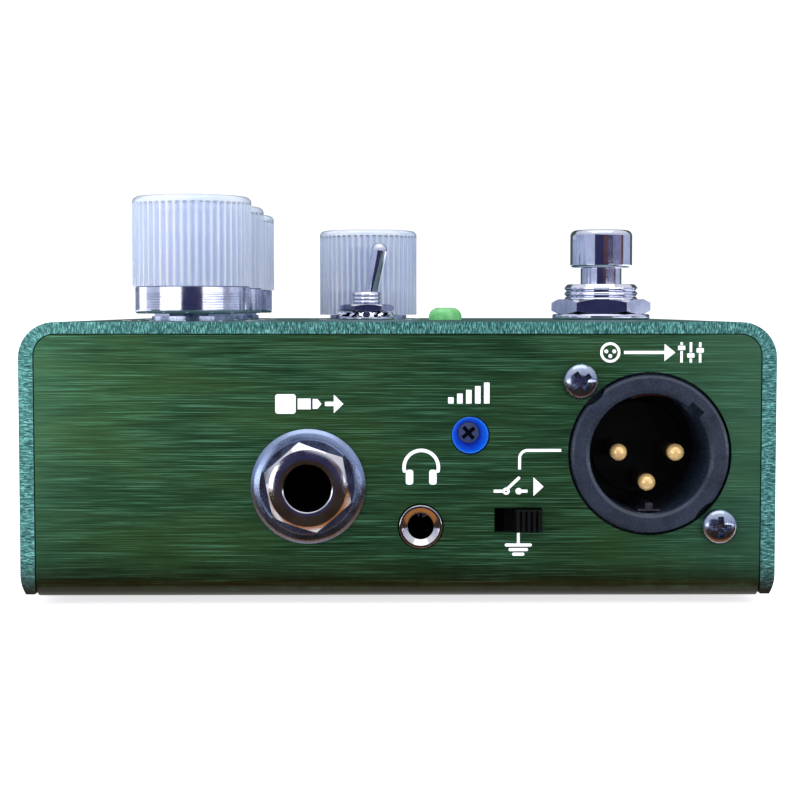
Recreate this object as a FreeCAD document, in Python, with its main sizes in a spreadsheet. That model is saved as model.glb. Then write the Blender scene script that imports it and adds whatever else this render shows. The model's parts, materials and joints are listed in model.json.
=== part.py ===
"""Pedal-format direct injection box: folded chassis, extruded cover, controls and connectors.

Frame: origin on the floor under the middle of the box, +Z up, the connector end towards -Y,
the row of tall knobs towards -X and the footswitch towards +X.  Millimetres.
"""
import FreeCAD, Part
import os
import re

import Sketcher
from FreeCAD import Rotation, Vector

doc = FreeCAD.newDocument("direct_box")

# ---------------------------------------------------------------- driving dimensions

SIZES = {
    # clearances: between fixed pieces, round turning ones, in panel holes
    "fixed_gap": 0.02,
    "running_gap": 0.05,
    "hole_gap": 0.1,
    # enclosure
    "box_width": 104.7,
    "box_depth": 102,
    "box_height": 38.35,
    "foot_height": 1.15,
    "cover_lift": 0.6,
    "foot_radius": 5,
    "foot_x": 38,
    "foot_y": 31,
    "wall": 2,
    "top_wall": 1.6,
    "corner_radius": 5,
    "inner_corner": 3,
    "lip_trim": 2.37,
    "panel_gap": 0.14,
    "panel_inset": 0.1,
    "bend_radius": 3,
    "inner_bend": 1,
    "rail_width": 5.5,
    "rail_height": 4.2,
    "rail_setback": 3.3,
    # base screws, M3 countersunk
    "base_screw_x": 46.8,
    "base_screw_y": 38,
    "base_screw_radius": 1.5,
    "base_screw_head": 2.7,
    "base_screw_length": 6,
    "base_slot_width": 0.6,
    "base_slot_span": 2.6,
    "base_slot_depth": 1,
    # quarter-inch jacks
    "jack_x": -12.45,
    "jack_height": 15.63,
    "jack_bore": 3.25,
    "jack_thread": 4.7,
    "jack_nut_flats": 11,
    "jack_nut_height": 2.2,
    "jack_sleeve_length": 8,
    "jack_washer_radius": 7.98,
    "jack_washer_flat": 6.45,
    "jack_washer_height": 0.95,
    "jack_body_width": 16,
    "jack_body_height": 13,
    "jack_body_depth": 24,
    "jack_cavity": 3.8,
    "jack_nut_rim": 0.45,
    "jack_washer_rim": 0.25,
    "jack_washer_step": 0.2,
    "jack_leaf_width": 4,
    "jack_leaf_depth": 5.6,
    "jack_leaf": 0.4,
    "jack_leaf_gap": 0.2,
    "jack_tag_width": 1.2,
    "jack_tag_depth": 0.8,
    "jack_first_leaf": 11,
    "jack_second_leaf": 18,
    # headphone jack, 3.5 mm
    "phones_x": 3.12,
    "phones_height": 10.02,
    "phones_hole": 3.18,
    "phones_barrel": 3,
    "phones_bore": 1.8,
    "phones_mouth": 2.6,
    "phones_proud": 0.4,
    "phones_body_width": 9,
    "phones_body_height": 9.6,
    "phones_barrel_length": 4,
    "phones_leaf_level": 2.1,
    "phones_leaf_width": 2.4,
    "phones_leaf": 0.3,
    "phones_slot_width": 2.8,
    "phones_slot_height": 1.4,
    # gain trimmer behind its access hole
    "trim_x": 10,
    "trim_height": 22.65,
    "trim_hole": 2.7,
    "trim_setback": 5.7,
    "trim_body": 6,
    "trim_nose": 2.55,
    "trim_nose_setback": 0.9,
    "trim_nose_mouth": 2.4,
    "trim_rotor": 1.45,
    "trim_rotor_depth": 1.7,
    "trim_rotor_proud": 0.2,
    "trim_slot_width": 0.55,
    "trim_slot_span": 2.2,
    "trim_slot_depth": 0.8,
    # ground-lift slide switch
    "lift_x": 16.65,
    "lift_height": 10.9,
    "lift_slot_width": 6.6,
    "lift_slot_height": 3.4,
    "lift_knob_width": 3.7,
    "lift_knob_height": 2.95,
    "lift_knob_proud": 2.4,
    "lift_rib_pitch": 0.74,
    "lift_frame_width": 11.6,
    "lift_frame_height": 5.6,
    "lift_frame_depth": 5.7,
    "lift_track_wall": 0.8,
    "lift_track_depth": 2.3,
    "lift_plate_width": 6.4,
    "lift_plate_height": 3.9,
    "lift_plate": 1.5,
    "lift_plate_gap": 0.3,
    "lift_valley_width": 0.3,
    "lift_valley_depth": 0.4,
    "leg_width": 0.6,
    "leg_pitch": 2.5,
    # XLR connector
    "xlr_x": 34.87,
    "xlr_height": 20.11,
    "xlr_hole": 11.35,
    "xlr_ring": 11,
    "xlr_bore": 8.3,
    "xlr_proud": 0.5,
    "xlr_cavity_depth": 14,
    "xlr_block": 24.6,
    "xlr_block_depth": 17,
    "xlr_insert_depth": 3.5,
    "xlr_key_width": 2.2,
    "xlr_key_depth": 1.2,
    "xlr_key_length": 8,
    "xlr_strip_width": 3,
    "xlr_strip": 0.3,
    "xlr_tab_width": 1.1,
    "xlr_tab_height": 0.9,
    "xlr_screw_relief": 0.9,
    "xlr_slot_width": 0.75,
    "xlr_slot_span": 2.9,
    "xlr_slot_depth": 1.1,
    "xlr_pin_radius": 1.2,
    "xlr_pin_x": 4,
    "xlr_pin_drop": 4.2,
    "xlr_pin_recess": 2,
    "xlr_screw_side": 9.6,
    "xlr_screw_rise": 10,
    "xlr_screw_radius": 1.25,
    "xlr_screw_head": 2.58,
    "xlr_screw_head_height": 1.7,
    "xlr_screw_length": 9,
    # circuit boards
    "board_thickness": 1.6,
    "board_height": 27,
    "board_left": 48,
    "board_right": 21.4,
    "board_back": 46,
    "io_board_setback": 10.6,
    "io_board_left": 2.4,
    "io_board_low": 5,
    "io_board_height": 21.5,
    "ribbon_left": 5,
    "ribbon_width": 9,
    "ribbon_low": 15.1,
    "ribbon": 0.9,
    "ribbon_reach": 5,
    "ribbon_bend": 1.5,
    # tall knobs with metal skirts
    "knob_x": -31.1,
    "knob_pitch": 26,
    "knob_radius": 9,
    "knob_bottom": 5.2,
    "knob_top": 18.7,
    "knob_edge": 0.9,
    "knob_hub": 4,
    "knob_hub_bottom": 3.6,
    "flute_radius": 0.42,
    "flute_depth": 0.32,
    "flute_end": 1,
    "skirt_radius": 8.6,
    "skirt_bottom": 1.1,
    "skirt_bore": 6.8,
    "skirt_web": 1,
    "skirt_groove": 0.16,
    "skirt_groove_start": 0.85,
    "skirt_groove_pitch": 0.5,
    # short knob, no skirt
    "low_knob_x": -4.9,
    "low_knob_radius": 8.8,
    "low_knob_bottom": 0.75,
    "low_knob_top": 15.9,
    "low_knob_cavity": 4.2,
    "low_knob_bore": 6.85,
    # potentiometers
    "pot_shaft": 3,
    "pot_shaft_top": 12.5,
    "pot_thread": 3.45,
    "pot_thread_top": 3.2,
    "pot_body_width": 11.4,
    "pot_body_height": 6.9,
    "pot_nut_flats": 10,
    "pot_nut_height": 1.9,
    "pot_washer_radius": 6.15,
    "low_washer_radius": 6.95,
    "pot_washer_height": 0.7,
    "pot_floor": 1,
    "pot_leg_width": 0.8,
    "pot_flat_width": 8,
    "pot_flat_offset": 1.6,
    "pot_flat_length": 7,
    # toggle
    "toggle_x": -4.95,
    "toggle_thread": 2.4,
    "toggle_thread_top": 4.6,
    "toggle_bore": 1.55,
    "toggle_flare": 2.1,
    "toggle_pivot": 0.5,
    "toggle_nut_flats": 8,
    "toggle_nut_height": 1.2,
    "toggle_washer_radius": 4.7,
    "toggle_washer_height": 0.4,
    "toggle_lock_height": 0.95,
    "toggle_lever_base": 0.95,
    "toggle_lever_tip": 1.3,
    "toggle_lever_length": 11.23,
    "toggle_plate": 0.8,
    "toggle_case_width": 8.2,
    "toggle_case_depth": 6.6,
    "toggle_case_height": 6,
    "toggle_leg_width": 1,
    "toggle_thread_depth": 0.22,
    "toggle_thread_start": 2.9,
    "toggle_thread_pitch": 0.5,
    # light
    "led_x": 8.25,
    "led_radius": 2.75,
    "led_top": 2,
    "led_stem": 2.5,
    "led_bottom": 4.6,
    # footswitch
    "switch_x": 34.35,
    "switch_thread": 6.1,
    "switch_thread_top": 5.9,
    "switch_bore": 3.55,
    "switch_neck": 3.4,
    "switch_cap": 5.15,
    "switch_cap_bottom": 8.7,
    "switch_cap_top": 14.9,
    "switch_nut_flats": 14.3,
    "switch_nut_height": 2.45,
    "switch_washer_radius": 8.1,
    "switch_washer_height": 0.95,
    "switch_body_width": 17,
    "switch_body_height": 14,
    "switch_cavity": 5.3,
    "switch_flange": 1,
    "switch_flange_radius": 7.5,
    "switch_collar": 1.5,
    "switch_collar_radius": 4.8,
    "switch_stem": 3,
    "switch_stem_radius": 2,
    "switch_top_edge": 0.9,
    "switch_low_edge": 0.25,
    "switch_thread_depth": 0.4,
    "switch_thread_pitch": 0.8,
    "switch_lug_width": 2.4,
    "switch_lug_depth": 0.8,
    "switch_lug_length": 4,
    "switch_lug_pitch": 5,
    "switch_case_floor": 1.5,
    "coil_wire": 0.35,
    "coil_radius": 3.4,
    # direct-current inlet
    "inlet_x": 30,
    "inlet_height": 15.95,
    "inlet_nose": 5.4,
    "inlet_bore": 3.2,
    "inlet_pin": 1.05,
    "inlet_depth": 10,
    "inlet_body_width": 14,
    "inlet_body_height": 11,
    "inlet_proud": 0.3,
    "inlet_back": 3,
}

sheet = doc.addObject("Spreadsheet::Sheet", "sizes")
for row, (alias, number) in enumerate(SIZES.items(), start=1):
    sheet.set(f"A{row}", alias.replace("_", " "))
    sheet.set(f"B{row}", str(number))
    sheet.setAlias(f"B{row}", alias)
doc.recompute()

# places worked out from the driving dimensions, as expressions
TOP = "(foot_height + box_height)"
UNDER = f"({TOP} - top_wall)"
COVER_LOW = "(foot_height + cover_lift)"
FLOOR = "(foot_height + wall)"
FRONT = "(panel_inset - box_depth / 2)"
BEHIND = f"({FRONT} + wall)"
PANEL_HALF = "(box_width / 2 - wall - panel_gap)"
PANEL_TOP = f"({UNDER} - panel_gap)"
JACK_Z = "(foot_height + jack_height)"
PHONES_Z = "(foot_height + phones_height)"
TRIM_Z = "(foot_height + trim_height)"
LIFT_Z = "(foot_height + lift_height)"
XLR_Z = "(foot_height + xlr_height)"
INLET_Z = "(foot_height + inlet_height)"
IO_FACE = f"({FRONT} + io_board_setback)"
BOARD_TOP = "(board_height + board_thickness)"

FLUTES = 50
HEX = 6
TOGGLE_TILT = 11
JACK_NUT_TURN = 41
TOGGLE_NUT_TURN = 4
SWITCH_NUT_TURN = -6
XLR_SCREW_TURNS = (35, 0)
ROTOR_TURN = 40
LIFT_VALLEYS = 4
COIL_TURNS = 5
SKIRT_GROOVES = 6
TOGGLE_THREADS = 3
SWITCH_THREADS = 2
JACK_NUT_FACE = [(6.4, 1.25), (5.9, 0.72), (5.3, 0.3), (4.7, 0.06), (4.2, 0), (3.8, 0.05), (3.45, 0.2)]


# ---------------------------------------------------------------- helpers


def bound(text):
    """Return an expression with every size name pointed at its cell in the sheet."""
    return re.sub(r"[a-z_]+", lambda m: "sizes." + m.group() if m.group() in SIZES else m.group(), str(text))


def value(text):
    """Work out an expression of sizes now, for the first drawing of a sketch."""
    return float(sheet.evalExpression(bound(text)))


def bind(obj, **properties):
    """Bind properties of an object to expressions of sizes."""
    for name, text in properties.items():
        obj.setExpression(name, bound(text))
    return obj


UP = Rotation()
FORWARD = Rotation(Vector(1, 0, 0), 90)
BACKWARD = Rotation(Vector(1, 0, 0), -90)


def place(obj, at, facing=UP, turn=0):
    """Put an object's own origin at a point, its own Z pointing up, forward or backward."""
    rotation = facing.multiply(Rotation(Vector(0, 0, 1), turn))
    obj.Placement = FreeCAD.Placement(Vector(*(value(text) for text in at)), rotation)
    for letter, text in zip("xyz", at):
        obj.setExpression(f"Placement.Base.{letter}", bound(text))
    return obj


def box(length, width, height, at):
    """Box with its lowest corner at a point; all arguments are expressions."""
    obj = doc.addObject("Part::Box", "block")
    bind(obj, Length=length, Width=width, Height=height)
    return place(obj, at)


def centred_box(length, width, height, at):
    """Box centred on a point in X and Z, with its front face on the point in Y."""
    x, y, z = at
    return box(length, width, height, (f"{x} - ({length}) / 2", y, f"{z} - ({height}) / 2"))


def standing_box(length, width, height, at):
    """Box that stands on a point, centred on it in X and Y."""
    x, y, z = at
    return box(length, width, height, (f"{x} - ({length}) / 2", f"{y} - ({width}) / 2", z))


def rod(radius, height, at, facing=UP):
    """Cylinder whose own origin, the middle of one end, is at a point."""
    obj = doc.addObject("Part::Cylinder", "rod")
    bind(obj, Radius=radius, Height=height)
    return place(obj, at, facing)


def cone(lower, upper, height, at, facing=UP):
    """Cone from one radius to another."""
    obj = doc.addObject("Part::Cone", "cone")
    bind(obj, Radius1=lower, Radius2=upper, Height=height)
    return place(obj, at, facing)


def ball(radius, at):
    """Whole sphere about a point."""
    obj = doc.addObject("Part::Sphere", "ball")
    bind(obj, Radius=radius)
    return place(obj, at)


def fuse(*shapes):
    """Union of objects; solids that don't touch stay separate solids."""
    if len(shapes) == 1:
        return shapes[0]
    obj = doc.addObject("Part::MultiFuse", "union")
    obj.Shapes = list(shapes)
    obj.Refine = True
    return obj


def cut(base, *tools):
    """Take tools away from a base."""
    obj = doc.addObject("Part::Cut", "difference")
    obj.Base = base
    obj.Tool = fuse(*tools)
    obj.Refine = True
    return obj


def common(first, second):
    """Space that two objects share."""
    obj = doc.addObject("Part::Common", "overlap")
    obj.Base = first
    obj.Tool = second
    return obj


def group(*shapes):
    """Identical loose pieces kept together as one sub-part."""
    obj = doc.addObject("Part::Compound", "set")
    obj.Links = list(shapes)
    return obj


def origin_plane(body, role):
    """One of a body's own origin planes."""
    return next(feature for feature in body.Origin.OriginFeatures if feature.Role == role)


def new_sketch(body, plane, lift="0"):
    """Empty sketch on one of a body's origin planes, moved along that plane's normal."""
    sketch = body.newObject("Sketcher::SketchObject", "outline")
    sketch.AttachmentSupport = [(origin_plane(body, plane), "")]
    sketch.MapMode = "FlatFace"
    sketch.setExpression("AttachmentOffset.Base.z", bound(lift))
    return sketch


def pin(sketch, geometry, point, across, along):
    """Fix a point of a sketch by its two distances from the origin."""
    for kind, axis, text in (("DistanceX", -2, across), ("DistanceY", -1, along)):
        if str(text) == "0":
            sketch.addConstraint(Sketcher.Constraint("PointOnObject", geometry, point, axis))
        else:
            rule = Sketcher.Constraint(kind, -1, 1, geometry, point, value(text))
            number = sketch.addConstraint(rule)
            sketch.setExpression(f"Constraints[{number}]", bound(text))


def add_outline(sketch, corners):
    """Closed outline of straight edges through corners given as pairs of expressions."""
    first = sketch.GeometryCount
    points = [Vector(value(across), value(along), 0) for across, along in corners]
    count = len(points)
    for i in range(count):
        sketch.addGeometry(Part.LineSegment(points[i], points[(i + 1) % count]))
    for i, (across, along) in enumerate(corners):
        sketch.addConstraint(Sketcher.Constraint("Coincident", first + i, 2, first + (i + 1) % count, 1))
        pin(sketch, first + i, 1, across, along)


def add_rectangle(sketch, left, low, right, high):
    """Rectangle between two corners."""
    add_outline(sketch, [(left, low), (right, low), (right, high), (left, high)])


def add_circle(sketch, radius, across, along):
    """Circle of a bound radius about a bound centre."""
    centre = Vector(value(across), value(along), 0)
    number = sketch.addGeometry(Part.Circle(centre, Vector(0, 0, 1), value(radius)))
    pin(sketch, number, 3, across, along)
    rule = sketch.addConstraint(Sketcher.Constraint("Radius", number, value(radius)))
    sketch.setExpression(f"Constraints[{rule}]", bound(radius))


def new_body(label):
    """Body that holds one sub-part."""
    body = doc.addObject("PartDesign::Body", label)
    body.Label = label
    return body


def pad(body, sketch, length, both_ways=False):
    """Extrude a sketch along its normal, or half each way."""
    feature = body.newObject("PartDesign::Pad", "pad")
    feature.Profile = sketch
    feature.SideType = "Symmetric" if both_ways else "One side"
    bind(feature, Length=length)
    return feature


def pocket(body, sketch, depth, along_normal=False):
    """Cut a sketch into the body and make sure that it removed something."""
    doc.recompute()
    before = body.Shape.Volume
    feature = body.newObject("PartDesign::Pocket", "pocket")
    feature.Profile = sketch
    feature.Reversed = along_normal
    bind(feature, Length=depth)
    doc.recompute()
    if before - body.Shape.Volume < 1e-3:
        raise ValueError(f"a pocket of {body.Label} cuts nothing")
    return feature


def soften(body, radius, chosen, kind="Fillet"):
    """Fillet or chamfer the edges of a body for which chosen(edge) is true."""
    doc.recompute()
    tip = body.Tip
    names = [f"Edge{i + 1}" for i, edge in enumerate(tip.Shape.Edges) if chosen(edge)]
    feature = body.newObject(f"PartDesign::{kind}", kind.lower())
    feature.Base = (tip, names)
    bind(feature, **{"Radius" if kind == "Fillet" else "Size": radius})
    return feature


def turned(label, profile):
    """Body of revolution about its own Z from (radius, height) corners."""
    body = new_body(label)
    sketch = new_sketch(body, "XZ_Plane")
    add_outline(sketch, profile)
    feature = body.newObject("PartDesign::Revolution", "turning")
    feature.Profile = sketch
    feature.ReferenceAxis = (sketch, ["V_Axis"])
    feature.Angle = 360
    return body


def polar(body, feature, axis, count):
    """Repeat a feature of a body evenly round its own Z."""
    pattern = body.newObject("PartDesign::PolarPattern", "ring")
    pattern.Originals = [feature]
    pattern.Axis = axis
    pattern.Angle = 360
    pattern.Occurrences = count
    body.Tip = pattern
    return pattern


def grooves(body, radius, depth, low, pitch, count):
    """Ring grooves of triangular section cut round a turned body, evenly spaced."""
    for i in range(count):
        sketch = new_sketch(body, "XZ_Plane")
        middle = f"({low}) + {i} * ({pitch})"
        root = f"({radius}) - ({depth})"
        outside = f"({radius}) + 0.2"
        add_outline(
            sketch,
            [
                (root, middle),
                (outside, f"{middle} - ({pitch}) * 0.55"),
                (outside, f"{middle} + ({pitch}) * 0.55"),
            ],
        )
        feature = body.newObject("PartDesign::Groove", "thread")
        feature.Profile = sketch
        feature.ReferenceAxis = (sketch, ["V_Axis"])
        feature.Angle = 360


def along(direction, length=None):
    """Test for straight edges along a direction, of one length if it is given."""

    def chosen(edge):
        if edge.Curve.TypeId != "Part::GeomLine":
            return False
        span = edge.Vertexes[-1].Point - edge.Vertexes[0].Point
        if length is not None and abs(span.Length - length) > 1e-3:
            return False
        return abs(abs(span.normalize().dot(direction)) - 1) < 1e-6

    return chosen


def circle_at(height, radius):
    """Test for whole circles of one radius at one height of a turned body."""

    def chosen(edge):
        if edge.Curve.TypeId != "Part::GeomCircle":
            return False
        return abs(edge.Curve.Center.z - height) < 1e-4 and abs(edge.Curve.Radius - radius) < 1e-4

    return chosen


def hexagon(flats, height, at=("0", "0", "0"), facing=UP, turn=0):
    """Six-sided bar with a stated size across its flats."""
    obj = doc.addObject("Part::Prism", "hexagon")
    obj.Polygon = HEX
    bind(obj, Circumradius=f"({flats}) / 2 / cos(30deg)", Height=height)
    return place(obj, at, facing, turn)


SUBPARTS = []


def keep(label, obj):
    """Name a finished sub-part, which names its file too."""
    obj.Label = label
    SUBPARTS.append(obj)
    return obj


ALONG_X = Vector(1, 0, 0)
ALONG_Y = Vector(0, 1, 0)
ALONG_Z = Vector(0, 0, 1)


def at_height(direction, text):
    """Test for straight edges along a direction at one height."""
    level = value(text)
    straight = along(direction)
    return lambda edge: straight(edge) and abs(edge.CenterOfMass.z - level) < 1e-3


# ---------------------------------------------------------------- enclosure

KNOB_ROWS = {
    "front": "-knob_pitch",
    "middle": "0 * knob_pitch",
    "rear": "knob_pitch",
}
LOW_KNOB_AT = ("low_knob_x", "knob_pitch")


def pot_places():
    """Name and centre of each potentiometer."""
    places = {name: ("knob_x", row) for name, row in KNOB_ROWS.items()}
    places["low"] = LOW_KNOB_AT
    return places


def base_screw_places():
    """Centres of the four base screws."""
    return [(f"{i} * base_screw_x", f"{j} * base_screw_y") for i in (-1, 1) for j in (-1, 1)]


def xlr_screw_places():
    """Centres of the upper and the lower connector screw across the panel."""
    return [(f"xlr_x + {i} * xlr_screw_side", f"{XLR_Z} - {i} * xlr_screw_rise") for i in (-1, 1)]


def make_top_cover():
    """Extruded cover: top and two side walls that turn in at the bottom, screw rails inside."""
    body = new_body("top_cover")
    tube = new_sketch(body, "XZ_Plane")
    add_rectangle(tube, "-box_width / 2", f"{COVER_LOW} - lip_trim", "box_width / 2", TOP)
    pad(body, tube, "box_depth", both_ways=True)
    soften(body, "corner_radius", along(ALONG_Y))

    start = "box_depth / 2 + 1"
    length = "box_depth + 2"
    hollow = new_sketch(body, "XZ_Plane", start)
    below = f"{COVER_LOW} - lip_trim - 1"
    add_rectangle(hollow, "wall - box_width / 2", below, "box_width / 2 - wall", UNDER)
    pocket(body, hollow, length)
    soften(body, "inner_corner", at_height(ALONG_Y, UNDER))

    trim = new_sketch(body, "XZ_Plane", start)
    add_rectangle(trim, "-box_width", below, "box_width", COVER_LOW)
    pocket(body, trim, length)

    rails = new_sketch(body, "XZ_Plane")
    for side in (-1, 1):
        inner = f"{side} * (box_width / 2 - wall - rail_width)"
        outer = f"{side} * (box_width / 2 - wall / 2)"
        add_rectangle(rails, inner, FLOOR, outer, f"{FLOOR} + rail_height")
    pad(body, rails, "box_depth - 2 * rail_setback", both_ways=True)

    controls = new_sketch(body, "XY_Plane", f"{TOP} + 1")
    for across, back in pot_places().values():
        add_circle(controls, "pot_thread + hole_gap", across, back)
    add_circle(controls, "toggle_thread + hole_gap", "toggle_x", "0")
    add_circle(controls, "led_stem + hole_gap", "led_x", "0")
    add_circle(controls, "switch_thread + 0.15", "switch_x", "0")
    pocket(body, controls, "top_wall + 2")

    tapped = new_sketch(body, "XY_Plane", f"{FLOOR} - 0.5")
    for across, back in base_screw_places():
        add_circle(tapped, "base_screw_radius + fixed_gap", across, back)
    pocket(body, tapped, "rail_height + 1", along_normal=True)
    keep("top_cover", body)


def make_chassis():
    """Folded sheet: base and both end panels in one piece, bent round at the bottom."""
    body = new_body("folded_sheet")
    fold = new_sketch(body, "YZ_Plane")
    add_rectangle(fold, FRONT, "foot_height", f"-{FRONT}", PANEL_TOP)
    pad(body, fold, f"2 * {PANEL_HALF}", both_ways=True)
    soften(body, "bend_radius", at_height(ALONG_X, "foot_height"))
    soften(body, "inner_corner - panel_gap", at_height(ALONG_Y, PANEL_TOP))

    hollow = new_sketch(body, "YZ_Plane", f"{PANEL_HALF} + 1")
    add_rectangle(hollow, BEHIND, FLOOR, f"-{BEHIND}", f"{TOP} + 1")
    pocket(body, hollow, f"2 * {PANEL_HALF} + 2")
    soften(body, "inner_bend", at_height(ALONG_X, FLOOR))

    front = new_sketch(body, "XZ_Plane", "box_depth / 2 + 1")
    add_circle(front, "jack_thread + 0.15", "jack_x", JACK_Z)
    add_circle(front, "phones_hole", "phones_x", PHONES_Z)
    add_circle(front, "trim_hole", "trim_x", TRIM_Z)
    add_circle(front, "xlr_hole", "xlr_x", XLR_Z)
    for across, height in xlr_screw_places():
        add_circle(front, "xlr_screw_radius + hole_gap", across, height)
    add_rectangle(
        front,
        "lift_x - lift_slot_width / 2",
        f"{LIFT_Z} - lift_slot_height / 2",
        "lift_x + lift_slot_width / 2",
        f"{LIFT_Z} + lift_slot_height / 2",
    )
    pocket(body, front, "wall + 1.5")

    rear = new_sketch(body, "XZ_Plane", "-(box_depth / 2 + 1)")
    add_circle(rear, "jack_thread + 0.15", "jack_x", JACK_Z)
    add_circle(rear, "inlet_nose + hole_gap", "inlet_x", INLET_Z)
    pocket(body, rear, "wall + 1.5", along_normal=True)

    sinks = []
    for across, back in base_screw_places():
        at = (across, back, "foot_height")
        drop = "base_screw_head - base_screw_radius"
        sinks.append(cone("base_screw_head + fixed_gap", "base_screw_radius + fixed_gap", drop, at))
        sinks.append(rod("base_screw_radius + fixed_gap", "wall + 1", at))
    keep("chassis", cut(body, *sinks))


def cross_recess(width, span, depth, at, facing=UP, turn=0):
    """Phillips recess: two crossed slots, sunk from a point against the way it faces."""
    slots = []
    for quarter in (0, 90):
        slot = doc.addObject("Part::Box", "slot")
        bind(slot, Length=span, Width=width, Height=depth)
        slot.Placement = FreeCAD.Placement(Vector(), Rotation(ALONG_Z, quarter)).multiply(
            FreeCAD.Placement(Vector(-value(span) / 2, -value(width) / 2, -value(depth)), Rotation())
        )
        slots.append(slot)
    cross = fuse(*slots)
    return place(cross, at, facing, turn)


def make_base_screws():
    """Four countersunk screws up through the base into the cover's rails."""
    screws = []
    for across, back in base_screw_places():
        at = (across, back, "foot_height")
        head = cone("base_screw_head", "base_screw_radius", "base_screw_head - base_screw_radius", at)
        shank = rod("base_screw_radius", "base_screw_length", at)
        roof = (across, back, "foot_height + base_slot_depth")
        recess = cross_recess("base_slot_width", "base_slot_span", "base_slot_depth", roof)
        screws.append(cut(fuse(head, shank), recess))
    keep("base_screws", group(*screws))


def make_rubber_feet():
    """Four stuck-on feet with a rounded rim where they meet the floor."""
    feet = []
    for i in (-1, 1):
        for j in (-1, 1):
            outline = [("0", "0"), ("foot_radius", "0"), ("foot_radius", "foot_height"), ("0", "foot_height")]
            foot = turned("foot", outline)
            soften(foot, "foot_height / 3", circle_at(0, SIZES["foot_radius"]))
            feet.append(place(foot, (f"{i} * foot_x", f"{j} * foot_y", "0")))
    keep("rubber_feet", group(*feet))


# ---------------------------------------------------------------- quarter-inch jacks


def make_jack(name, facing):
    """One quarter-inch jack: plastic body, contacts, hollow hex nut with a threaded sleeve, washer."""
    forward = facing is FORWARD
    outer = FRONT if forward else f"-{FRONT}"
    inner = BEHIND if forward else f"-{BEHIND}"
    away = "1" if forward else "-1"
    origin = ("jack_x", outer, JACK_Z)
    start = inner if forward else f"{inner} - jack_body_depth"
    inward = BACKWARD if forward else FORWARD

    block = centred_box("jack_body_width", "jack_body_depth", "jack_body_height", ("jack_x", start, JACK_Z))
    seat_at = ("jack_x", inner, JACK_Z)
    socket = rod("jack_thread + fixed_gap", "jack_sleeve_length - wall + hole_gap", seat_at, inward)
    cavity = rod("jack_cavity", "jack_body_depth - 2", seat_at, inward)
    slots = []
    leaves = []
    for middle in ("jack_first_leaf", "jack_second_leaf"):
        centre = f"{inner} + {away} * {middle}"
        low = f"({JACK_Z} + jack_bore + running_gap)"
        slot_width = "(jack_leaf_width + 2 * jack_leaf_gap)"
        slot_depth = "(jack_leaf_depth + 2 * jack_leaf_gap)"
        at = ("jack_x", centre, low)
        slots.append(standing_box(slot_width, slot_depth, "jack_body_height", at))
        leaves.append(standing_box("jack_leaf_width", "jack_leaf_depth", "jack_leaf", at))
        leaves.append(standing_box("jack_tag_width", "jack_tag_depth", f"board_height - {low}", at))
    keep(f"{name}_jack_body", cut(block, socket, cavity, *slots))
    keep(f"{name}_jack_contacts", fuse(*leaves))

    seat = "(jack_washer_height - jack_washer_step)"
    face = f"({seat} + jack_nut_height)"
    profile = [
        ("jack_bore", "-jack_sleeve_length"),
        ("jack_thread", "-jack_sleeve_length"),
        ("jack_thread", seat),
        ("jack_nut_flats", seat),
        ("jack_nut_flats", f"{face} - {JACK_NUT_FACE[0][1]}"),
    ]
    profile += [(str(radius), f"{face} - {drop}") for radius, drop in JACK_NUT_FACE]
    profile.append(("jack_bore", f"{face} - jack_nut_rim"))
    nut = place(turned("nut_turning", profile), origin, facing)
    length = f"{face} + jack_sleeve_length + 1"
    behind = ("jack_x", f"{outer} + {away} * (jack_sleeve_length + 0.5)", JACK_Z)
    bar = hexagon("jack_nut_flats", length, behind, facing, JACK_NUT_TURN)
    keep(f"{name}_jack_nut", common(nut, bar))

    washer = turned(
        f"{name}_jack_washer",
        [
            ("jack_thread + running_gap", "0"),
            ("jack_washer_radius", "0"),
            ("jack_washer_radius", "jack_washer_rim"),
            ("jack_washer_radius - 0.45", "jack_washer_height - 0.35"),
            ("jack_washer_radius - 1.1", "jack_washer_height - 0.1"),
            ("jack_washer_flat + 0.15", "jack_washer_height"),
            ("jack_washer_flat", seat),
            ("jack_thread + running_gap", seat),
        ],
    )
    keep(f"{name}_jack_washer", place(washer, origin, facing))


# ---------------------------------------------------------------- headphone jack


def make_headphone_jack():
    """3.5 mm jack on the small board, its metal barrel through the panel."""
    inner = ("phones_x", BEHIND, PHONES_Z)
    depth = "io_board_setback - wall"
    block = centred_box("phones_body_width", depth, "phones_body_height", inner)
    socket = rod("phones_barrel + fixed_gap", "phones_barrel_length + hole_gap", inner, BACKWARD)
    cavity = rod("phones_bore + hole_gap", depth, inner, BACKWARD)
    slots = []
    leaves = []
    for side in (-1, 1):
        level = f"{PHONES_Z} + {side} * phones_leaf_level"
        start = "(phones_barrel_length + 0.6)"
        slot_at = ("phones_x", f"{BEHIND} + {start}", level)
        slots.append(centred_box("phones_slot_width", f"{depth} - {start}", "phones_slot_height", slot_at))
        leaf_at = ("phones_x", f"{BEHIND} + {start} + jack_leaf_gap", level)
        leaf_depth = f"{depth} - {start} - jack_leaf_gap"
        leaves.append(centred_box("phones_leaf_width", leaf_depth, "phones_leaf", leaf_at))
    keep("headphone_jack_body", cut(block, socket, cavity, *slots))
    keep("headphone_jack_contacts", fuse(*leaves))

    barrel = turned(
        "headphone_jack_barrel",
        [
            ("phones_bore", "-wall - phones_barrel_length"),
            ("phones_barrel", "-wall - phones_barrel_length"),
            ("phones_barrel", "phones_proud - 0.2"),
            ("phones_barrel - 0.2", "phones_proud"),
            ("phones_mouth", "phones_proud"),
            ("phones_bore + 0.2", "phones_proud - 0.9"),
            ("phones_bore", "phones_proud - 1.3"),
        ],
    )
    keep("headphone_jack_barrel", place(barrel, ("phones_x", FRONT, PHONES_Z), FORWARD))


# ---------------------------------------------------------------- XLR connector


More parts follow.
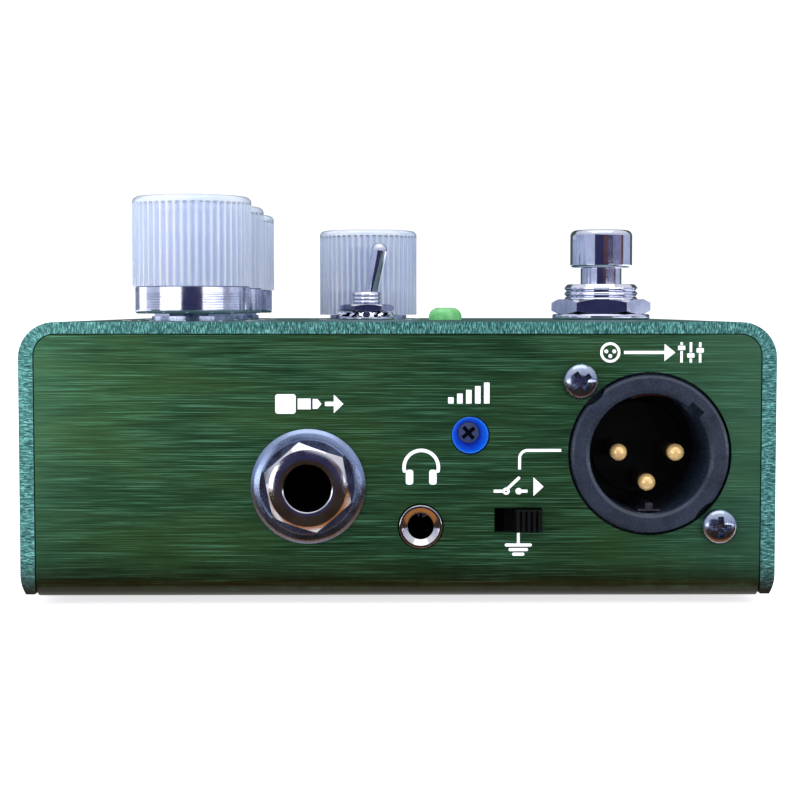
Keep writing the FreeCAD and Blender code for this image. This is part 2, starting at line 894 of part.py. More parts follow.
def xlr_pin_places():
    """Centres of the three pins across the panel."""
    return [
        ("xlr_x - xlr_pin_x", XLR_Z),
        ("xlr_x + xlr_pin_x", XLR_Z),
        ("xlr_x", f"{XLR_Z} - xlr_pin_drop"),
    ]


def make_xlr():
    """Male XLR connector: ring and block, insert, pins, ground contact and two screws."""
    centre = ("xlr_x", FRONT, XLR_Z)
    ring = turned(
        "xlr_ring",
        [
            ("xlr_bore", "-wall - 1"),
            ("xlr_ring", "-wall - 1"),
            ("xlr_ring", "xlr_proud - 0.45"),
            ("xlr_ring - 0.15", "xlr_proud - 0.12"),
            ("xlr_ring - 0.5", "xlr_proud"),
            ("xlr_bore + 0.6", "xlr_proud"),
            ("xlr_bore + 0.15", "xlr_proud - 0.2"),
            ("xlr_bore", "xlr_proud - 0.6"),
        ],
    )
    place(ring, centre, FORWARD)
    block = centred_box("xlr_block", "xlr_block_depth", "xlr_block", ("xlr_x", BEHIND, XLR_Z))
    insert_front = f"({FRONT} - xlr_proud + xlr_cavity_depth)"
    cavity_depth = f"{insert_front} + xlr_insert_depth - {BEHIND}"
    bore = rod("xlr_bore", cavity_depth, ("xlr_x", BEHIND, XLR_Z), BACKWARD)
    notch = place(
        box("xlr_key_width", "xlr_key_depth", "xlr_key_length", ("0", "0", "0")),
        ("xlr_x + 5", f"{FRONT} + 6", f"{XLR_Z} + 6.3"),
        FORWARD,
        -40,
    )
    tools = [bore, notch]
    for across, height in xlr_pin_places():
        at = (across, BEHIND, height)
        tools.append(rod("xlr_pin_radius + hole_gap", "xlr_block_depth + 2", at, BACKWARD))
    for across, height in xlr_screw_places():
        at = (across, BEHIND, height)
        tools.append(rod("xlr_screw_radius + fixed_gap", "xlr_screw_length", at, BACKWARD))
        tools.append(rod("xlr_screw_head + xlr_screw_relief", "wall + 2", at, FORWARD))
    keep("xlr_housing", cut(fuse(ring, block), *tools))

    holes = [
        rod("xlr_pin_radius + fixed_gap", "5", (across, f"{insert_front} - 0.5", height), BACKWARD)
        for across, height in xlr_pin_places()
    ]
    disc = rod("xlr_bore - 0.03", "xlr_insert_depth", ("xlr_x", insert_front, XLR_Z), BACKWARD)
    keep("xlr_insert", cut(disc, *holes))

    pins = []
    tip = f"({FRONT} - xlr_proud + xlr_pin_recess)"
    tail = f"({BEHIND} + xlr_block_depth + 2.5)"
    for across, height in xlr_pin_places():
        nose = ball("xlr_pin_radius", (across, f"{tip} + xlr_pin_radius", height))
        shaft = rod(
            "xlr_pin_radius",
            f"{tail} - {tip} - xlr_pin_radius",
            (across, f"{tip} + xlr_pin_radius", height),
            BACKWARD,
        )
        pins.append(fuse(nose, shaft))
    keep("xlr_pins", group(*pins))

    mouth = f"{FRONT} - xlr_proud + 1"
    reach = "xlr_cavity_depth - 1"
    strip_at = ("xlr_x", mouth, f"{XLR_Z} - xlr_bore + 0.42")
    tab_at = ("xlr_x", mouth, f"{XLR_Z} - xlr_bore + 0.95")
    strip = centred_box("xlr_strip_width", reach, "xlr_strip", strip_at)
    tab = centred_box("xlr_tab_width", reach, "xlr_tab_height", tab_at)
    keep("xlr_ground_contact", fuse(strip, tab))

    screws = []
    for (across, height), turn in zip(xlr_screw_places(), XLR_SCREW_TURNS):
        screw = turned(
            "xlr_screw",
            [
                ("0", "-xlr_screw_length"),
                ("xlr_screw_radius", "-xlr_screw_length"),
                ("xlr_screw_radius", "0"),
                ("xlr_screw_head", "0"),
                ("xlr_screw_head", "xlr_screw_head_height - 1.2"),
                ("xlr_screw_head - 0.2", "xlr_screw_head_height - 0.65"),
                ("xlr_screw_head - 0.65", "xlr_screw_head_height - 0.25"),
                ("xlr_screw_head - 1.3", "xlr_screw_head_height - 0.05"),
                ("0", "xlr_screw_head_height"),
            ],
        )
        place(screw, (across, FRONT, height), FORWARD)
        face = (across, f"{FRONT} - xlr_screw_head_height", height)
        recess = cross_recess("xlr_slot_width", "xlr_slot_span", "xlr_slot_depth", face, FORWARD, turn)
        screws.append(cut(screw, recess))
    keep("xlr_screws", group(*screws))


# ---------------------------------------------------------------- trimmer and slide switch


def make_trimmer():
    """Trimmer on the small board: block with a dished nose in the panel's hole, slotted rotor."""
    face = f"({FRONT} + trim_setback)"
    centre = ("trim_x", face, TRIM_Z)
    block = centred_box("trim_body", "io_board_setback - trim_setback", "trim_body", centre)
    reach = "trim_setback - trim_nose_setback"
    nose = rod("trim_nose", reach, centre, FORWARD)
    dish = cone("trim_rotor + hole_gap", "trim_nose_mouth", reach, centre, FORWARD)
    recess_depth = "trim_rotor_depth + hole_gap"
    recess = rod("trim_rotor + running_gap", recess_depth, centre, BACKWARD)
    keep("trimmer_body", cut(fuse(block, nose), dish, recess))
    back = ("trim_x", f"{face} + trim_rotor_depth", TRIM_Z)
    disc = rod("trim_rotor", "trim_rotor_depth + trim_rotor_proud", back, FORWARD)
    front = ("trim_x", f"{face} - trim_rotor_proud", TRIM_Z)
    slot = cross_recess("trim_slot_width", "trim_slot_span", "trim_slot_depth", front, FORWARD, ROTOR_TURN)
    keep("trimmer_rotor", cut(disc, slot))


def make_lift_switch():
    """Slide switch: open frame behind the panel, slider with a ribbed grip through the slot."""
    centre = ("lift_x", BEHIND, LIFT_Z)
    frame = centred_box("lift_frame_width", "lift_frame_depth", "lift_frame_height", centre)
    track_width = "lift_frame_width - 2 * lift_track_wall"
    track = centred_box(track_width, "lift_track_depth", "lift_frame_height - 1.3", centre)
    legs = []
    for i in (-1, 0, 1):
        start = (f"lift_x + {i} * leg_pitch", f"{BEHIND} + lift_frame_depth", LIFT_Z)
        reach = "io_board_setback - wall - lift_frame_depth"
        legs.append(centred_box("leg_width", reach, "leg_width", start))
    keep("lift_switch_frame", fuse(cut(frame, track), *legs))

    rest = "(lift_x + (lift_slot_width - lift_knob_width) / 2 - hole_gap)"
    plate_at = (rest, f"{BEHIND} + lift_plate_gap", LIFT_Z)
    slide = centred_box("lift_plate_width", "lift_plate", "lift_plate_height", plate_at)
    grip_face = f"({FRONT} - lift_knob_proud)"
    grip_depth = "lift_knob_proud + wall + 0.4"
    grip = centred_box("lift_knob_width", grip_depth, "lift_knob_height", (rest, grip_face, LIFT_Z))
    valleys = []
    for i in range(LIFT_VALLEYS):
        across = f"{rest} + ({i} - {(LIFT_VALLEYS - 1) / 2}) * lift_rib_pitch"
        valley_at = (across, grip_face, LIFT_Z)
        valleys.append(centred_box("lift_valley_width", "lift_valley_depth", "lift_knob_height", valley_at))
    keep("lift_switch_slider", cut(fuse(slide, grip), *valleys))


# ---------------------------------------------------------------- circuit boards


def make_boards():
    """Main board under the controls, small upright board, and the ribbon between them."""
    width = "board_left + board_right"
    main = box(width, "2 * board_back", "board_thickness", ("-board_left", "-board_back", "board_height"))
    keep("main_board", main)
    corner = ("-io_board_left", IO_FACE, "io_board_low")
    small = box("board_right + io_board_left", "board_thickness", "io_board_height", corner)
    window = rod("phones_bore + 0.2", "4", ("phones_x", f"{IO_FACE} - 1", PHONES_Z), BACKWARD)
    keep("small_board", cut(small, window))

    body = new_body("ribbon_cable")
    strip = new_sketch(body, "YZ_Plane", "ribbon_left")
    back = f"{IO_FACE} + board_thickness"
    add_outline(
        strip,
        [
            (back, "ribbon_low"),
            (f"{back} + ribbon_reach", "ribbon_low"),
            (f"{back} + ribbon_reach", "board_height"),
            (f"{back} + ribbon_reach - ribbon", "board_height"),
            (f"{back} + ribbon_reach - ribbon", "ribbon_low + ribbon"),
            (back, "ribbon_low + ribbon"),
        ],
    )
    pad(body, strip, "ribbon_width")
    for radius, level in (("ribbon_bend + ribbon", "ribbon_low"), ("ribbon_bend", "ribbon_low + ribbon")):
        flat = at_height(ALONG_X, level)
        soften(body, radius, lambda edge: flat(edge) and edge.CenterOfMass.y > value(back) + 1)
    keep("ribbon_cable", body)


# ---------------------------------------------------------------- potentiometers and knobs


def make_potentiometer(name, across, back):
    """Potentiometer soldered to the main board, its shaft standing out of the cover."""
    low = f"({UNDER} - pot_body_height)"
    half = "pot_body_width / 2"
    corner = (f"{across} - {half}", f"{back} - {half}", low)
    can = box("pot_body_width", "pot_body_width", "pot_body_height", corner)
    thread = rod("pot_thread", "top_wall + pot_thread_top + 1", (across, back, f"{UNDER} - 1"))
    bore = rod("pot_shaft + running_gap", "pot_body_height + 8", (across, back, f"{low} + pot_floor"))
    legs = []
    for i in (-1, 0, 1):
        leg_at = (f"{across} + {i} * leg_pitch - pot_leg_width / 2", f"{back} - {half}", BOARD_TOP)
        legs.append(box("pot_leg_width", "leg_width", f"{low} - {BOARD_TOP} + 0.5", leg_at))
    keep(f"{name}_pot_body", cut(fuse(can, thread, *legs), bore))
    start = f"({low} + pot_floor + 0.2)"
    shaft = rod("pot_shaft", f"{TOP} + pot_shaft_top - {start}", (across, back, start))
    flat_low = f"{TOP} + pot_shaft_top - pot_flat_length"
    flat_at = (f"{across} - pot_flat_width / 2", f"{back} + pot_flat_offset", flat_low)
    flat = box("pot_flat_width", "pot_shaft", "pot_flat_length + 0.5", flat_at)
    keep(f"{name}_pot_shaft", cut(shaft, flat))


def make_pot_hardware():
    """Nuts and washers that hold the potentiometers to the cover."""
    nuts = []
    washers = []
    for name, (across, back) in pot_places().items():
        radius = "low_washer_radius" if name == "low" else "pot_washer_radius"
        disc = rod(radius, "pot_washer_height", (across, back, TOP))
        washers.append(cut(disc, rod("pot_thread + running_gap", "2", (across, back, f"{TOP} - 0.5"))))
        seat = (across, back, f"{TOP} + pot_washer_height")
        bar = hexagon("pot_nut_flats", "pot_nut_height", seat)
        nuts.append(cut(bar, rod("pot_thread + fixed_gap", "4", (across, back, TOP))))
    keep("pot_washers", group(*washers))
    keep("pot_nuts", group(*nuts))


def add_flutes(body, radius, low, high):
    """Straight finger flutes all round a knob, stopping short of its top."""
    sketch = new_sketch(body, "XY_Plane", f"{low} - 0.5")
    add_circle(sketch, "flute_radius", f"{radius} + flute_radius - flute_depth", "0")
    feature = pocket(body, sketch, f"{high} - flute_end - ({low}) + 0.5", along_normal=True)
    polar(body, feature, (sketch, ["N_Axis"]), FLUTES)


def make_tall_knob(name, row):
    """Clear fluted knob and the turned metal skirt under it."""
    at = ("knob_x", row, TOP)
    knob = turned(
        f"{name}_knob",
        [
            ("pot_shaft + fixed_gap", "knob_hub_bottom"),
            ("knob_hub", "knob_hub_bottom"),
            ("knob_hub", "knob_bottom"),
            ("knob_radius", "knob_bottom"),
            ("knob_radius", "knob_top"),
            ("0", "knob_top"),
            ("0", "pot_shaft_top + 0.5"),
            ("pot_shaft + fixed_gap", "pot_shaft_top + 0.5"),
        ],
    )
    soften(knob, "knob_edge", circle_at(SIZES["knob_top"], SIZES["knob_radius"]))
    add_flutes(knob, "knob_radius", "knob_bottom", "knob_top")
    keep(f"{name}_knob", place(knob, at))

    skirt = turned(
        f"{name}_knob_skirt",
        [
            ("skirt_bore", "skirt_bottom"),
            ("skirt_radius", "skirt_bottom"),
            ("skirt_radius", "knob_bottom"),
            ("knob_hub + fixed_gap", "knob_bottom"),
            ("knob_hub + fixed_gap", "knob_bottom - skirt_web"),
            ("skirt_bore", "knob_bottom - skirt_web"),
        ],
    )
    first = "skirt_bottom + skirt_groove_start"
    grooves(skirt, "skirt_radius", "skirt_groove", first, "skirt_groove_pitch", SKIRT_GROOVES)
    keep(f"{name}_knob_skirt", place(skirt, at))


def make_low_knob():
    """Shorter fluted knob with a hollow underside in place of a skirt."""
    across, back = LOW_KNOB_AT
    ceiling = "low_knob_bottom + low_knob_cavity"
    knob = turned(
        "low_knob",
        [
            ("low_knob_bore", "low_knob_bottom"),
            ("low_knob_radius", "low_knob_bottom"),
            ("low_knob_radius", "low_knob_top"),
            ("0", "low_knob_top"),
            ("0", "pot_shaft_top + 0.5"),
            ("pot_shaft + fixed_gap", "pot_shaft_top + 0.5"),
            ("pot_shaft + fixed_gap", ceiling),
            ("low_knob_bore", ceiling),
        ],
    )
    soften(knob, "knob_edge", circle_at(SIZES["low_knob_top"], SIZES["low_knob_radius"]))
    add_flutes(knob, "low_knob_radius", "low_knob_bottom", "low_knob_top")
    keep("low_knob", place(knob, (across, back, TOP)))


# ---------------------------------------------------------------- toggle, light and footswitch


def hex_nut(flats, height, bore, at, turn):
    """Upright hex nut with both faces chamfered down to a circle."""
    edge = f"({flats}) / 2 + 0.05"
    outer = f"({flats}) * 0.6"
    fall = f"(({outer}) - ({edge})) * 0.55"
    blank = turned(
        "nut_blank",
        [
            (bore, "0"),
            (edge, "0"),
            (outer, fall),
            (outer, f"({height}) - {fall}"),
            (edge, height),
            (bore, height),
        ],
    )
    nut = common(blank, hexagon(flats, height, turn=turn))
    return place(nut, at)


def make_toggle():
    """Miniature toggle: plastic body, threaded bushing, washers, nut and the tilting lever."""
    origin = ("toggle_x", "0", TOP)
    bushing = turned(
        "toggle_thread",
        [
            ("toggle_bore", "-top_wall - toggle_plate"),
            ("toggle_thread", "-top_wall - toggle_plate"),
            ("toggle_thread", "toggle_thread_top - 0.2"),
            ("toggle_thread - 0.12", "toggle_thread_top"),
            ("toggle_flare", "toggle_thread_top"),
            ("toggle_bore", "toggle_pivot + 1"),
        ],
    )
    first = "toggle_thread_start"
    grooves(bushing, "toggle_thread", "toggle_thread_depth", first, "toggle_thread_pitch", TOGGLE_THREADS)
    place(bushing, origin)
    low = f"({UNDER} - toggle_plate)"
    plate = standing_box("toggle_case_width", "toggle_case_depth", "toggle_plate", ("toggle_x", "0", low))
    hole = rod("toggle_thread - 0.2", "3", ("toggle_x", "0", f"{UNDER} - 2"))
    keep("toggle_bushing", fuse(bushing, cut(plate, hole)))

    case_low = f"({low} - toggle_case_height)"
    case_at = ("toggle_x", "0", case_low)
    case = standing_box("toggle_case_width", "toggle_case_depth", "toggle_case_height", case_at)
    legs = []
    for i in (-1, 0, 1):
        leg_at = (f"toggle_x + {i} * leg_pitch", "0", BOARD_TOP)
        legs.append(standing_box("toggle_leg_width", "leg_width", f"{case_low} - {BOARD_TOP}", leg_at))
    keep("toggle_body", fuse(case, *legs))

    stem = cone("toggle_lever_base", "toggle_lever_tip", "toggle_lever_length", ("0", "0", "0"))
    knuckle = ball("toggle_bore - running_gap", ("0", "0", "0"))
    tip = ball("toggle_lever_tip", ("0", "0", "toggle_lever_length"))
    lever = fuse(stem, knuckle, tip)
    pivot = ("toggle_x", "0", f"{TOP} + toggle_pivot")
    keep("toggle_lever", place(lever, pivot, Rotation(ALONG_Y, TOGGLE_TILT)))

    plain = cut(
        rod("toggle_washer_radius", "toggle_washer_height", origin),
        rod("toggle_thread + 0.05", "2", ("toggle_x", "0", f"{TOP} - 0.5")),
    )
    level = f"{TOP} + toggle_washer_height"
    rim = rod("toggle_washer_radius - 1", "toggle_lock_height - 0.3", ("toggle_x", "0", f"{level} + 0.15"))
    teeth = []
    for i in range(10):
        tooth = box("0.9", "0.8", "toggle_lock_height", ("0", "0", "0"))
        turn = Rotation(ALONG_Z, i * 36)
        reach = turn.multVec(Vector(value("toggle_washer_radius") - 1.2, -0.4, 0))
        place(tooth, (f"toggle_x + ({reach.x:.4f})", f"{reach.y:.4f}", level), turn)
        teeth.append(tooth)
    lock = cut(fuse(rim, *teeth), rod("toggle_thread + 0.05", "3", ("toggle_x", "0", f"{TOP} - 0.5")))
    keep("toggle_washers", group(plain, lock))

    seat = ("toggle_x", "0", f"{TOP} + toggle_washer_height + toggle_lock_height")
    nut = hex_nut("toggle_nut_flats", "toggle_nut_height", "toggle_thread + fixed_gap", seat, TOGGLE_NUT_TURN)
    keep("toggle_nut", nut)


def make_led():
    """Round light through the cover, its two legs on the main board."""
    lens = turned(
        "led_lens",
        [
            ("0", "-led_bottom"),
            ("led_stem", "-led_bottom"),
            ("led_stem", "0"),
            ("led_radius", "0"),
            ("led_radius", "led_top"),
            ("0", "led_top"),
        ],
    )
    soften(lens, "led_top - 0.4", circle_at(SIZES["led_top"], SIZES["led_radius"]))
    keep("led_lens", place(lens, ("led_x", "0", TOP)))
    length = f"{TOP} - led_bottom - {BOARD_TOP}"
    legs = [rod("0.25", length, (f"led_x + {side} * 1.27", "0", BOARD_TOP)) for side in (-1, 1)]
    keep("led_legs", group(*legs))


def make_footswitch():
    """Push footswitch: case, threaded bushing, sprung button, nut, washer and terminals."""
    origin = ("switch_x", "0", TOP)
    bushing = turned(
        "footswitch_bushing",
        [
            ("switch_bore", "-top_wall - switch_flange"),
            ("switch_flange_radius", "-top_wall - switch_flange"),
            ("switch_flange_radius", "-top_wall"),
            ("switch_thread", "-top_wall"),
            ("switch_thread", "switch_thread_top - 0.3"),
            ("switch_thread - 0.3", "switch_thread_top"),
            ("switch_bore", "switch_thread_top"),
        ],
    )
    first = "switch_thread_top - 2"
    grooves(bushing, "switch_thread", "switch_thread_depth", first, "switch_thread_pitch", SWITCH_THREADS)
    keep("footswitch_bushing", place(bushing, origin))

    low = f"({UNDER} - switch_flange - switch_body_height)"
    floor = ("switch_x", "0", low)
    case = standing_box("switch_body_width", "switch_body_width", "switch_body_height", floor)
    well = rod("switch_cavity", "switch_body_height", ("switch_x", "0", f"{low} + switch_case_floor"))
    keep("footswitch_body", cut(case, well))
    lugs = []
    for i in (-1, 0, 1):
        lug_at = (f"switch_x + {i} * switch_lug_pitch", "0", f"{low} - switch_lug_length")
        lugs.append(standing_box("switch_lug_width", "switch_lug_depth", "switch_lug_length", lug_at))
    keep("footswitch_terminals", group(*lugs))

    collar = "(-top_wall - switch_flange - 0.3)"
    ledge = f"({collar} - switch_collar)"
    button = turned(
        "footswitch_button",
        [
            ("0", f"{ledge} - switch_stem"),
            ("switch_stem_radius", f"{ledge} - switch_stem"),
            ("switch_stem_radius", ledge),
            ("switch_collar_radius", ledge),
            ("switch_collar_radius", collar),
            ("switch_neck", collar),
            ("switch_neck", "switch_cap_bottom"),
            ("switch_cap", "switch_cap_bottom"),
            ("switch_cap", "switch_cap_top"),
            ("0", "switch_cap_top"),
        ],
    )
    soften(button, "switch_top_edge", circle_at(SIZES["switch_cap_top"], SIZES["switch_cap"]))
    soften(button, "switch_low_edge", circle_at(SIZES["switch_cap_bottom"], SIZES["switch_cap"]))
    keep("footswitch_button", place(button, origin))

    spring_low = f"({low} + switch_case_floor + coil_wire + fixed_gap)"
    spring_high = f"({TOP} + {ledge} - coil_wire - fixed_gap)"
    helix = doc.addObject("Part::Helix", "coil")
    rise = f"({spring_high} - {spring_low})"
    bind(helix, Height=rise, Pitch=f"{rise} / {COIL_TURNS}", Radius="coil_radius")
    ring = doc.addObject("Part::Circle", "wire")
    bind(ring, Radius="coil_wire")
    place(ring, ("coil_radius", "0", "0"), FORWARD)
    spring = doc.addObject("Part::Sweep", "spring")
    spring.Sections = [ring]
    spring.Spine = (helix, ["Edge1"])
    spring.Solid = True
    spring.Frenet = True
    keep("footswitch_spring", place(spring, ("switch_x", "0", spring_low)))

    washer = cut(
        rod("switch_washer_radius", "switch_washer_height", origin),
        rod("switch_thread + running_gap", "3", ("switch_x", "0", f"{TOP} - 1")),
    )
    keep("footswitch_washer", washer)
    seat = ("switch_x", "0", f"{TOP} + switch_washer_height")
    nut = hex_nut("switch_nut_flats", "switch_nut_height", "switch_thread + fixed_gap", seat, SWITCH_NUT_TURN)
    keep("footswitch_nut", nut)


# ---------------------------------------------------------------- power inlet


def make_power_inlet():
    """Direct-current inlet in the far end panel: block with a round nose, and its centre pin."""
    centre = ("inlet_x", f"-{BEHIND}", INLET_Z)
    depth = "inlet_depth + inlet_back"
    back = ("inlet_x", f"-{BEHIND} - ({depth})", INLET_Z)
    block = centred_box("inlet_body_width", depth, "inlet_body_height", back)
    nose = rod("inlet_nose", "wall + inlet_proud", centre, BACKWARD)
    face = f"(-{FRONT} + inlet_proud)"
    bore = rod("inlet_bore", "inlet_depth + 1", ("inlet_x", f"{face} + 1", INLET_Z), FORWARD)
    tunnel = rod("inlet_pin + fixed_gap", "inlet_depth + 8", ("inlet_x", face, INLET_Z), FORWARD)
    keep("power_inlet_body", cut(fuse(block, nose), bore, tunnel))
    length = "inlet_depth + 6"
    shaft = rod("inlet_pin", length, ("inlet_x", f"{face} - 1", INLET_Z), FORWARD)
    keep("power_inlet_pin", shaft)


# ---------------------------------------------------------------- the whole box

make_top_cover()
make_chassis()
make_base_screws()
make_rubber_feet()
make_jack("output", FORWARD)
make_jack("input", BACKWARD)
make_headphone_jack()
make_xlr()
make_trimmer()
make_lift_switch()
make_boards()
for pot_name, (pot_across, pot_back) in pot_places().items():
    make_potentiometer(pot_name, pot_across, pot_back)
make_pot_hardware()
for knob_name, knob_row in KNOB_ROWS.items():
    make_tall_knob(knob_name, knob_row)
make_low_knob()
make_toggle()
make_led()
make_footswitch()
make_power_inlet()
doc.recompute()

for obj in doc.Objects:
    if "Invalid" in obj.State or "Error" in obj.State:
        raise RuntimeError(f"{obj.Label} failed: {obj.State}")
for obj in SUBPARTS:
    if obj.Shape.isNull() or not obj.Shape.isValid() or not obj.Shape.Solids:
        raise RuntimeError(f"{obj.Label} has no sound shape")

os.makedirs("parts", exist_ok=True)
for obj in SUBPARTS:
    obj.Shape.exportStep(f"parts/{obj.Label}.step")
whole = FreeCAD.BoundBox()
for obj in SUBPARTS:
    whole.add(obj.Shape.BoundBox)
print(f"{len(SUBPARTS)} sub-parts, {whole.XLength:.1f} x {whole.YLength:.1f} x {whole.ZLength:.1f} mm")
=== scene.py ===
"""Looks of the direct injection box: finishes, fine turned and fluted pieces, panel markings, studio."""
import json
import math

import bmesh
import bpy
from mathutils import Euler, Matrix, Vector


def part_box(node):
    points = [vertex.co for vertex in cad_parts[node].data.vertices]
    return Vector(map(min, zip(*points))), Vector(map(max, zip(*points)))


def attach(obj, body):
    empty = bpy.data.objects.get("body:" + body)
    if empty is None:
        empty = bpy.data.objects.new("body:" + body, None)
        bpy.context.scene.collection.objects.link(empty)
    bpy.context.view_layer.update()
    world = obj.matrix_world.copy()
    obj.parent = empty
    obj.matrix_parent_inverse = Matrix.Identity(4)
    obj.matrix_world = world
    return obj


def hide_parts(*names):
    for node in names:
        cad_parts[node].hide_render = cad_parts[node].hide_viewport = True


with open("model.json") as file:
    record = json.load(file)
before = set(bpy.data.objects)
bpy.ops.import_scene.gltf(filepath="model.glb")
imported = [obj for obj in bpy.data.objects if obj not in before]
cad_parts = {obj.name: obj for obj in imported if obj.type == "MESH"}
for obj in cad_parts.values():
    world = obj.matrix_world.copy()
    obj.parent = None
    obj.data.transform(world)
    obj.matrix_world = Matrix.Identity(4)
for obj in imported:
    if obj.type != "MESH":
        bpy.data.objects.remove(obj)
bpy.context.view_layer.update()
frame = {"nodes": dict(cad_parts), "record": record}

link = bpy.context.scene.collection.objects.link

MM = 0.001
TURN = 2 * math.pi
GROOVE_LAYER = "groove"
UP = Matrix.Identity(4)
FORWARD = Matrix.Rotation(math.radians(90), 4, "X")
BACKWARD = Matrix.Rotation(math.radians(-90), 4, "X")


# -------- places taken from the frame, in mm


def low(node):
    """Lowest corner of a CAD node, in mm."""
    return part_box(node)[0] / MM


def high(node):
    """Highest corner of a CAD node, in mm."""
    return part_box(node)[1] / MM


def centre(node):
    """Middle of a CAD node, in mm."""
    return (low(node) + high(node)) / 2


def half_width(node):
    """Half of a CAD node's extent along X, in mm."""
    return (high(node).x - low(node).x) / 2


TOP = high("top_cover").z
FRONT = low("chassis").y
BACK = high("chassis").y
OUTER_X = high("top_cover").x

# -------- finishes


def rgb(red, green, blue):
    """Screen colour, 0 to 255, as linear light."""
    shares = [channel / 255 for channel in (red, green, blue)]
    return tuple(((share + 0.055) / 1.055) ** 2.4 if share > 0.04 else share / 12.92 for share in shares)


class Finish:
    """Node material with one Principled surface, whose textures follow the object's own space."""

    def __init__(self, name, color, roughness, metallic=0.0, **sockets):
        self.material = bpy.data.materials.new(name)
        self.material.use_nodes = True
        self.tree = self.material.node_tree
        self.shader = self.tree.nodes["Principled BSDF"]
        self.shader.inputs["Base Color"].default_value = (*color, 1)
        self.shader.inputs["Roughness"].default_value = roughness
        self.shader.inputs["Metallic"].default_value = metallic
        for socket, number in sockets.items():
            self.shader.inputs[socket.replace("_", " ")].default_value = number

    def node(self, kind, inputs=None, **settings):
        """New shader node with its settings; inputs are numbers or sockets to link."""
        made = self.tree.nodes.new("ShaderNode" + kind)
        for name, setting in settings.items():
            setattr(made, name, setting)
        for name, source in (inputs or {}).items():
            if isinstance(source, bpy.types.NodeSocket):
                self.tree.links.new(source, made.inputs[name])
            else:
                made.inputs[name].default_value = source
        return made

    def place(self, per_mm):
        """Object coordinates scaled so that a feature repeats so many times per mm, by axis or alike."""
        coordinates = self.node("TexCoord").outputs["Object"]
        counts = per_mm if isinstance(per_mm, tuple) else (per_mm,) * 3
        scale = [count / MM for count in counts]
        return self.node("Mapping", {"Vector": coordinates, "Scale": scale}).outputs["Vector"]

    def noise(self, per_mm, detail=3.0, roughness=0.55):
        """Smooth noise, stretched where per_mm differs by axis."""
        inputs = {"Vector": self.place(per_mm), "Scale": 1.0, "Detail": detail, "Roughness": roughness}
        return self.node("TexNoise", inputs).outputs["Fac"]

    def along(self, axis):
        """Distance along one axis of the object's own space."""
        coordinates = self.node("TexCoord").outputs["Object"]
        return self.node("SeparateXYZ", {"Vector": coordinates}).outputs[axis]

    def math(self, operation, first, second=0.0, third=0.0):
        """One sum of sockets or numbers."""
        return self.node("Math", {0: first, 1: second, 2: third}, operation=operation).outputs[0]

    def mixed(self, first, second, share):
        """Two numbers mixed, with so much of the second."""
        kept = self.math("MULTIPLY", first, 1 - share)
        return self.math("ADD", kept, self.math("MULTIPLY", second, share))

    def span(self, fac, low_in, high_in, low_out, high_out):
        """Map one range to another."""
        inputs = {"Value": fac, "From Min": low_in, "From Max": high_in}
        inputs.update({"To Min": low_out, "To Max": high_out})
        return self.node("MapRange", inputs).outputs["Result"]

    def ramp(self, fac, stops):
        """Colour ramp through (position, colour) stops."""
        made = self.node("ValToRGB", {"Fac": fac})
        elements = made.color_ramp.elements
        while len(elements) < len(stops):
            elements.new(0.5)
        for element, (position, color) in zip(elements, stops):
            element.position = position
            element.color = (*color, 1)
        return made.outputs["Color"]

    def blend(self, fac, first, second):
        """Mix of two colours."""
        made = self.node("Mix", data_type="RGBA")
        for index, source in ((0, fac), (6, first), (7, second)):
            if isinstance(source, bpy.types.NodeSocket):
                self.tree.links.new(source, made.inputs[index])
            else:
                made.inputs[index].default_value = source if index == 0 else (*source, 1)
        return made.outputs[2]

    def feed(self, socket, source):
        """Link a texture to a socket of the surface."""
        self.tree.links.new(source, self.shader.inputs[socket])

    def bump(self, height, strength, depth_mm):
        """Raise the surface by a height texture, on top of any bump already there."""
        inputs = {"Height": height, "Strength": strength, "Distance": depth_mm * MM}
        if self.shader.inputs["Normal"].links:
            inputs["Normal"] = self.shader.inputs["Normal"].links[0].from_socket
        self.feed("Normal", self.node("Bump", inputs).outputs["Normal"])

    def painted_floor_shade(self, color):
        """Colour that turns dark and brownish over the lowest few mm: painted shade near the floor."""
        # Painted shade: darkest at the bottom, gone a few mm up.
        shade_full_height, shade_end_height, raggedness = 1.4 * MM, 6.2 * MM, 1.6 * MM
        ragged = self.math("MULTIPLY", self.noise(0.6, 2), raggedness)
        level = self.math("SUBTRACT", self.along("Z"), ragged)
        return self.blend(self.span(level, shade_full_height, shade_end_height, 0.97, 0.0), color, rgb(30, 24, 4))


def tint(color, factor):
    """Lighter or darker copy of a colour."""
    return tuple(c * factor for c in color)


